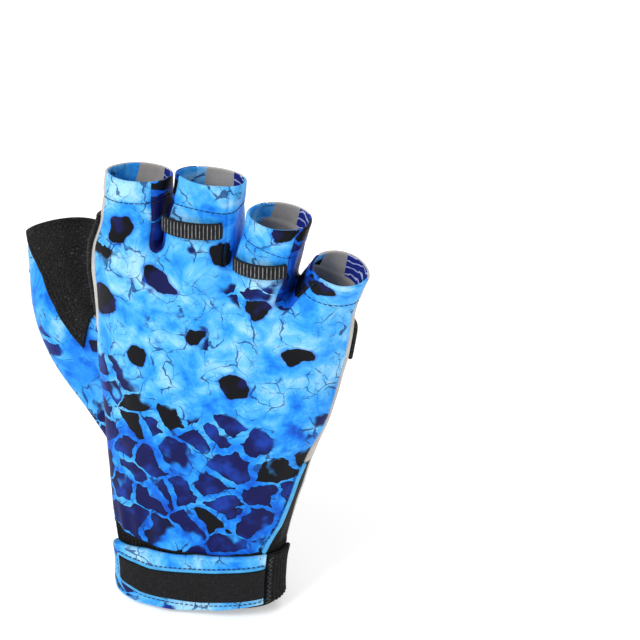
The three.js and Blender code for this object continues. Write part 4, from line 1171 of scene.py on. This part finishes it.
def cuff_band():
    """Columns round the wrist and a profile that goes up outside, over the top and down inside. The
    outer wall rises by a wave for each rib and a lesser one for each course, its foot is rounded, and
    it sinks near its top, where the hems lie over it."""
    u = np.arange(CUFF_COLUMNS) / CUFF_COLUMNS * COLUMNS
    back = (u > 0.2) & (u < RIGHT)
    top = np.where(back, hem_row(BACK_HEM, u), hem_row(PALM_HEM, u)) + 0.12
    t = np.concatenate([np.linspace(0, 1, CUFF_ROWS_OUTSIDE), np.linspace(1, 0, CUFF_ROWS_INSIDE)])
    outside = (np.arange(len(t)) < CUFF_ROWS_OUTSIDE)[:, None]
    out = np.where(outside, -CUFF_UNDER, -CUFF_UNDER - CUFF_WALL)
    v = t[:, None] * top
    points, normals = on_hand(palm_chart, np.broadcast_to(u, v.shape), v)
    foot = np.clip(points[..., 2] / CUFF_FOOT, 0, 1)
    rounding = 0.55 * CUFF_WALL * (1 - np.sqrt(1 - (1 - foot) ** 2))
    rib = RIB_HEIGHT * np.sin(u / COLUMNS * 2 * np.pi * RIB_COUNT) * outside * np.minimum(1, foot + 0.2)
    course = COURSE_HEIGHT * np.sin(points[..., 2] / COURSE_PITCH * 2 * np.pi) * outside
    sunk = RIB_SINK * smooth(0.84, 0.94, t)[:, None] * outside
    rise = out + rib + course - sunk - np.where(outside, 1, -1) * rounding
    points = points + normals * rise[..., None]
    ids = np.arange(v.size).reshape(v.shape)
    ids = np.vstack([ids, ids[:1]])
    ids = np.hstack([ids, ids[:, :1]])
    return points.reshape(-1, 3), quads(ids)


# Black cotton and elastane rib: matt, its ribs catching a little light on their crests
def rib_knit():
    """Near black with a fuzzy fleck and stitches of 0.8 mm."""
    sockets = {"Roughness": 0.88, "Specular_IOR_Level": 0.15, "Sheen_Weight": 0.03}
    material, shader, add = blank("black_rib_knit", **sockets)
    where = add("TexCoord", out="Object")
    fleck = add("TexNoise", where, Scale=1 / (0.7 * MM), Detail=3.0, Roughness=0.7)
    add(
        "MixRGB", add("MapRange", fleck, 0.4, 0.75, interpolation_type="SMOOTHSTEP"), srgb("0C0C0D"),
        srgb("2C2C2E"), to=shader.inputs["Base Color"],
    )
    add("Bump", Height=knitted(add, where, 0.8 * MM), Distance=0.12 * MM, to=shader.inputs["Normal"])
    return material


black_knit = rib_knit()
finish_piece(make("cuff_rib_knit", *cuff_band(), [black_knit]), "black_knit", "cuff_band")


# The wrist slit: a black inner flap closes it, and its cut edge is wrapped in a satin piping. The
# back's lower edge has a thin black one.

FLAP_SINK = 1.5 * MM
BINDING_RADIUS = 1.0 * MM
HEM_PIPING = 0.45 * MM
PIPING_SIDES = 12


def bar(rings, ends):
    """A closed bar: its rings of points joined in their order, and each end ring to its end point."""
    ids = np.arange(rings[..., 0].size).reshape(rings.shape[:2])
    ids = np.hstack([ids, ids[:, :1]])
    first, last = rings[..., 0].size, rings[..., 0].size + 1
    faces = quads(ids)[:, ::-1].tolist()
    faces += [[first, int(a), int(b)] for a, b in zip(ids[0, :-1], ids[0, 1:])]
    faces += [[last, int(b), int(a)] for a, b in zip(ids[-1, :-1], ids[-1, 1:])]
    return np.concatenate([rings.reshape(-1, 3), ends]), faces


def tube(path, radii, normals, flat=1.0):
    """A round bar along a path: at each place a ring across it, squeezed by flat along the normal.
    The radii fall to nothing at both ends."""
    ahead = unit(np.gradient(path, axis=0))
    side = unit(np.cross(ahead, normals))
    up = np.cross(side, ahead)
    turn = np.arange(PIPING_SIDES) / PIPING_SIDES * 2 * np.pi
    rings = (
        path[:, None] + side[:, None] * (radii[:, None] * np.cos(turn))[..., None]
        + up[:, None] * (radii[:, None] * np.sin(turn) * flat)[..., None]
    )
    return bar(rings, path[[0, -1]])


def bar_radii(path, radius):
    """The radius along a bar whose two ends are rounded as half balls."""
    length = np.concatenate([[0], np.cumsum(np.linalg.norm(np.diff(path, axis=0), axis=1))])
    end = np.minimum(np.minimum(length, length[-1] - length) / radius, 1)
    return radius * np.sqrt(np.maximum(1 - (1 - end) ** 2, 0.02))


# Plain black warp knit: even, matt, with a very fine grid
def plain_knit():
    """Near black with crossed threads of 0.9 mm and a dusty fleck."""
    material, shader, add = blank("plain_black_knit", Roughness=0.75, Specular_IOR_Level=0.18)
    where = add("TexCoord", out="Object")
    dust = add("TexNoise", where, Scale=1 / (0.8 * MM), Detail=4.0, Roughness=0.75)
    add(
        "MixRGB", add("MapRange", dust, 0.45, 0.8, interpolation_type="SMOOTHSTEP"), srgb("111112"),
        srgb("2E2E30"), to=shader.inputs["Base Color"],
    )
    add("Bump", Height=knitted(add, where, KNIT_PITCH), Distance=0.1 * MM, to=shader.inputs["Normal"])
    return material


# Satin-faced folding elastic: light blue, glossy along its fold
def satin_binding():
    """Light blue, clouded a little, with a faint rib and a soft gloss."""
    material, shader, add = blank("satin_binding", Roughness=0.4)
    where = add("TexCoord", out="Object")
    cloud = add("TexNoise", where, Scale=1 / (3 * MM))
    add("MixRGB", cloud, srgb("1585D0"), srgb("4DB9EC"), to=shader.inputs["Base Color"])
    add("Bump", Height=knitted(add, where, KNIT_PITCH), Distance=0.06 * MM, to=shader.inputs["Normal"])
    return material


plain_black, binding = plain_knit(), satin_binding()

flap_v = np.linspace(0, 1, 40)[:, None]
flap_t = np.linspace(0, 1, 16)[None]
flap_left = np.interp(1.9 + 3.2 * flap_v, *SLIT_EDGE.T) - 0.3
flap_low = hem_row(BACK_HEM, flap_left + (10.05 - flap_left) * flap_t) - 0.35
flap_rows = flap_low + (5.15 - flap_low) * flap_v
flap_left = np.interp(flap_rows, *SLIT_EDGE.T) - 0.35
flap_place = on_hand(palm_chart, mix(flap_left, 10.15, flap_t), flap_rows)
flap = make("slit_flap_knit", *raised(*flap_place, -FLAP_SINK, 0.9 * MM, groove=0), [plain_black])
finish_piece(flap, "black_fabric", "slit_flap")

slit_v = np.linspace(5.06, 2.12, 60)
slit_u = np.interp(slit_v, *SLIT_EDGE.T)
slit_line, slit_up = on_hand(palm_chart, slit_u, slit_v)
slit_line = slit_line - slit_up * 0.1 * MM
slit_bar = tube(slit_line, bar_radii(slit_line, BINDING_RADIUS), slit_up, flat=0.85)
piping = make("slit_piping", *slit_bar, [binding])
finish_piece(piping, "binding", "slit_binding")

hem_u = np.linspace(0.15, 7.9, 120)
hem_line, hem_up = on_hand(palm_chart, hem_u, hem_row(BACK_HEM, hem_u))
hem_line = hem_line - hem_up * 0.35 * MM
hem_bar = tube(hem_line, bar_radii(hem_line, HEM_PIPING), hem_up)
finish_piece(make("back_hem_piping", *hem_bar, [plain_black]), "black_fabric")

beside = on_hand(palm_chart, slit_u - 0.26, slit_v)
side_seam = [(beside[0] + beside[1] * STITCH_LIFT, beside[1])]
sewing = make("slit_stitching", *stitched(side_seam, 2.0 * MM, 0.15 * MM), [navy_thread])
finish_piece(sewing, "printed_fabric")


# The closing strap: a printed tab, a plain black plate on it with a turned light-blue edge, and a wide
# black elastic that pulls it shut. A zigzag sews the elastic down.

STRAP_THICKNESS = 2 * MM
PLATE_THICKNESS = 1 * MM
ELASTIC_THICKNESS = 1.5 * MM
ELASTIC_RIB = 1.7 * MM
ELASTIC_RIB_HEIGHT = 0.22 * MM
ELASTIC_STEP = 0.2 * MM
TAB_CORNER = 5.0 * MM
BINDING_WIDTH = 0.7 * MM
# The columns of the cuff that each runs between, and its size along and across
TAB_COLUMNS, TAB_SIZE = (0.62, 8.06), (64 * MM, 25 * MM)
PLATE_COLUMNS, PLATE_SIZE = (1.62, 7.98), (55 * MM, 14 * MM)
ELASTIC_COLUMNS, ELASTIC_SIZE = (8.12, 9.92), (12 * MM, 23 * MM)

# Edges of the three: x as a share of the half width, z of the cuff's height
TAB_LOW = np.array([
    (-0.9, 0.03), (-0.45, -0.07), (-0.17, -0.06), (0.18, 0.0), (0.42, 0.08), (0.545, 0.11),
])
TAB_HIGH = np.array([
    (-0.9, 0.80), (-0.62, 0.92), (-0.34, 0.99), (-0.03, 1.01), (0.28, 1.05), (0.545, 1.06),
])
PLATE_LOW = np.array([(-0.6, 0.40), (-0.54, 0.27), (-0.40, 0.19), (0.07, 0.17), (0.53, 0.27)])
PLATE_HIGH = np.array([(-0.6, 0.75), (-0.33, 0.68), (0.05, 0.74), (0.53, 0.83)])
ELASTIC_LOW = np.array([(0.5, 0.11), (0.66, 0.09), (0.9, 0.06)])
ELASTIC_HIGH = np.array([(0.5, 1.06), (0.9, 1.0)])


def on_cuff(columns, size, low, high, corners=(0.0, 0.0), step=GRID_STEP):
    """A layer's places on the cuff between two columns: the edges' heights follow from each column's
    x, and both draw together by quarter circles at the corners. Below the cuff it hangs straight."""
    across, up = size
    share, t = spaced(across, step), spaced(up)[:, None]
    u = columns[0] + (columns[1] - columns[0]) * share
    x = on_hand(palm_chart, u, np.ones_like(u))[0][:, 0]
    from_left, from_right = share * across, (1 - share) * across
    draw = sum(
        radius - np.sqrt(np.maximum(radius**2 - np.maximum(radius - away, 0) ** 2, 0))
        for radius, away in zip(corners, (from_left, from_right))
    )
    z = mix(edge_height(low, x) + draw, edge_height(high, x) - draw, t)
    u = np.broadcast_to(u, z.shape)
    points, normals = on_hand(palm_chart, u, row_at(palm_chart, u, np.maximum(z, 0)))
    points[..., 2] += np.minimum(z, 0)
    return points, normals


def ribbed_elastic():
    """The elastic's places and normals: ribs run up it, one wave every rib."""
    edges = (ELASTIC_LOW, ELASTIC_HIGH)
    points, normals = on_cuff(ELASTIC_COLUMNS, ELASTIC_SIZE, *edges, step=ELASTIC_STEP)
    run = spaced(ELASTIC_SIZE[0], ELASTIC_STEP) * ELASTIC_SIZE[0]
    rib = ELASTIC_RIB_HEIGHT * np.cos(run / ELASTIC_RIB * 2 * np.pi)
    return points + normals * rib[:, None], normals


tab_place = on_cuff(TAB_COLUMNS, TAB_SIZE, TAB_LOW, TAB_HIGH, (TAB_CORNER, 0.0))
tab = make("strap_tab_cloth", *raised(*tab_place, LAYER_GAP, STRAP_THICKNESS, 1.1 * MM), [strap_jersey])
finish_piece(tab, "printed_fabric", "strap_tab")
plate_place = on_cuff(PLATE_COLUMNS, PLATE_SIZE, PLATE_LOW, PLATE_HIGH)
plate_lift = LAYER_GAP + STRAP_THICKNESS
plate_layer = raised(*plate_place, plate_lift - 0.1 * MM, PLATE_THICKNESS, 0.5 * MM, 0.0)
plate = make("strap_plate_knit", *plate_layer, [plain_black])
finish_piece(plate, "black_fabric", "strap_plate")


def rim_part(points, normals, first, last, outset, lift):
    """A stretch of the line round a layer, clockwise between two shares of its length from the lower
    left corner, moved outwards and lifted off the cloth."""
    rim, up = frame_of(points)[::-1], frame_of(normals)[::-1]
    both = evenly(np.hstack([rim, up * MM]), 0.9 * MM)
    both = np.roll(both, -int(first * len(both)), 0)[: int((last - first) * len(both))]
    line, up = both[:, :3], unit(both[:, 3:])
    ahead = unit(np.gradient(line, axis=0))
    return line + unit(np.cross(ahead, up)) * -outset + up * lift, up


edge_line, edge_up = rim_part(*plate_place, -0.16, 0.49, BINDING_WIDTH, plate_lift + 0.12 * MM)
turned_edge = tube(edge_line, bar_radii(edge_line, BINDING_WIDTH), edge_up, flat=0.7)
finish_piece(make("plate_binding", *turned_edge, [binding]), "binding")

elastic_layer = raised(*ribbed_elastic(), LAYER_GAP, ELASTIC_THICKNESS, 0.6 * MM, 0.0)
elastic = make("strap_elastic_rib", *elastic_layer, [black_knit])
finish_piece(elastic, "black_knit", "strap_elastic")

tab_runs = [rim_part(*plate_place, 0.0, 0.99, 1.75 * MM, plate_lift)]
zig_z = np.arange(3.2, 25.0, 1.0) * MM
zig_u = 8.28 + 0.13 * np.where(np.arange(len(zig_z)) % 2, 1, -1)
zig_points, zig_up = on_hand(palm_chart, zig_u, row_at(palm_chart, zig_u, zig_z))
zigzag = [(zig_points + zig_up * (LAYER_GAP + ELASTIC_THICKNESS + 0.15 * MM), zig_up)]
sewing = make("strap_stitching", *stitched(tab_runs, 1.9 * MM, 0.18 * MM), [black_thread])
finish_piece(sewing, "printed_fabric")
dull_thread = thread("dark_grey_polyester_thread", "48484B")
sewing = make("elastic_zigzag", *stitched(zigzag, 1.3 * MM, 0.16 * MM, 0.95), [dull_thread])
finish_piece(sewing, "black_knit")


# The pull loops: ribbed elastic tapes across the backs of the middle and ring fingers, sewn down at
# both ends and standing off the cloth between them, to pull the glove off by.

LOOP_THICKNESS = 1.1 * MM
LOOP_CLEARANCE = 0.45 * MM
LOOP_RISE = 1.3 * MM
LOOP_RIB = 1.25 * MM
LOOP_RIB_HEIGHT = 0.28 * MM
LOOP_STEP = 0.16 * MM
LOOP_SIDES = 14
# The finger, the height in mm, the columns where it starts and ends, and its width in mm
LOOPS = [("middle", 1, 161.4, -0.25, 1.8, 6.4), ("ring", 2, 149.0, -0.1, 1.92, 5.6)]


def pull_loop(finger, height, start, end, wide):
    """A tape along a row of the finger, with a section between an oval and a rectangle. Its middle
    stands off by half a sine wave, and its face has a rib every rib pitch. With each point comes how
    high it lies on a rib, from 0 to 1."""
    grid = finger_charts[finger]
    u = np.linspace(start, end, 240)
    path, normals = on_hand(grid, u, row_at(grid, u, np.full(u.shape, height * MM), 1.2))
    flat = normals * (1, 1, 0)
    both = evenly(np.hstack([path, unit(flat) * MM]), LOOP_STEP)
    path, out = both[:, :3], unit(both[:, 3:])
    length = np.linspace(0, 1, len(path))
    lift = LOOP_THICKNESS / 2 + LOOP_CLEARANCE * smooth(0, 0.08, length) * smooth(1, 0.92, length)
    lift = lift + LOOP_RISE * np.sin(np.pi * length)
    turn = np.arange(LOOP_SIDES) / LOOP_SIDES * 2 * np.pi
    across = np.sign(np.cos(turn)) * np.abs(np.cos(turn)) ** 0.35 * wide * MM / 2
    deep = np.sign(np.sin(turn)) * np.abs(np.sin(turn)) ** 0.6 * LOOP_THICKNESS / 2
    run = np.arange(len(path)) * LOOP_STEP
    rib = np.cos(run / LOOP_RIB * 2 * np.pi)[:, None] * np.maximum(np.sin(turn), 0)
    ends = bar_radii(path, 0.5 * MM) / (0.5 * MM)
    rings = (
        path[:, None] + np.array([0, 0, 1.0]) * (across * ends[:, None])[..., None]
        + out[:, None] * (lift[:, None] + (deep + LOOP_RIB_HEIGHT * rib) * ends[:, None])[..., None]
    )
    points, faces = bar(rings, rings[[0, -1]].mean(1))
    crest = np.clip(rib, 0, 1) * (smooth(0.06, 0.1, length) * smooth(0.98, 0.94, length))[:, None]
    return points, faces, np.append(crest.ravel(), [0, 0])


# Black elastic tape with pale grey rubber ribs showing through on its crests
def ribbed_tape():
    """Black, turning grey where the mesh's crest attribute is high."""
    material, shader, add = blank("ribbed_elastic_tape", Roughness=0.6, Specular_IOR_Level=0.25)
    crest = add("Attribute", attribute_name="crest", out="Fac")
    broken = add("TexNoise", add("TexCoord", out="Object"), Scale=1 / (1.2 * MM))
    share = add(
        "Math", add("MapRange", crest, 0.45, 0.9, interpolation_type="SMOOTHSTEP"),
        add("MapRange", broken, 0.3, 0.6, 0.4, 1.0, interpolation_type="SMOOTHSTEP"),
        operation="MULTIPLY",
    )
    add("MixRGB", share, srgb("141415"), srgb("85878C"), to=shader.inputs["Base Color"])
    return material


tape = ribbed_tape()
for label, finger, height, start, end, wide in LOOPS:
    points, faces, crest = pull_loop(finger, height, start, end, wide)
    loop = make(f"pull_loop_{label}_tape", points, faces, [tape], attributes={"crest": crest})
    finish_piece(loop, "black_knit", f"pull_loop_{label}")


# The studio: a pale floor a little under the glove, a broad key light from the upper left, softer
# ones from the right and from behind, and the camera a long lens gives.

FLOOR_HEIGHT = -3 * MM
FLOOR_REACH = 6.0
CAMERA_PLACE = np.array([129.936, -626.418, 452.974]) * MM
CAMERA_BACK = np.array([0.12078, -0.87811, 0.46296])
CAMERA_RIGHT = np.array([0.98774, 0.15276, 0.03205])
LENS = 110.0
MIDDLE = Vector((0, 0, 90 * MM))


def pale_floor():
    """One square of matt, nearly white paper."""
    material, _, _ = blank("white_paper", Base_Color=srgb("FAFAFA"), Roughness=0.9,
                           Emission_Color=srgb("FFFFFF"), Emission_Strength=0.35)
    corners = np.array([(-1, -1, 0), (1, -1, 0), (1, 1, 0), (-1, 1, 0)]) * FLOOR_REACH
    return make("floor", corners + (0, 0, FLOOR_HEIGHT), np.array([[0, 1, 2, 3]]), [material])


def soft_light(name, place, width, power):
    """A square light of the given width in metres that faces the middle of the glove."""
    lamp = bpy.data.lights.new(name, "AREA")
    lamp.size, lamp.energy = width, power
    holder = bpy.data.objects.new(name, lamp)
    holder.location = place
    holder.rotation_euler = (MIDDLE - Vector(place)).to_track_quat("-Z", "Y").to_euler()
    bpy.context.scene.collection.objects.link(holder)


pale_floor()
soft_light("key", (-0.7, -0.9, 1.1), 0.7, 13)
soft_light("fill", (1.0, -0.7, 0.5), 0.9, 2.3)
soft_light("back", (0.2, 0.9, 0.9), 0.8, 4)
world = bpy.data.worlds.new("studio")
world.use_nodes = True
world.node_tree.nodes["Background"].inputs[0].default_value = srgb("FFFFFF")
world.node_tree.nodes["Background"].inputs[1].default_value = 0.5
bpy.context.scene.world = world
bpy.context.scene.view_settings.view_transform = "Standard"

camera = bpy.data.objects.new("camera", bpy.data.cameras.new("camera"))
camera.data.lens = LENS
camera.data.clip_end = 20
camera_up = np.cross(CAMERA_BACK, CAMERA_RIGHT)
placing = np.eye(4)
placing[:3] = np.column_stack([CAMERA_RIGHT, camera_up, CAMERA_BACK, CAMERA_PLACE])
camera.matrix_world = Matrix(placing.tolist())
bpy.context.scene.collection.objects.link(camera)
bpy.context.scene.camera = camera
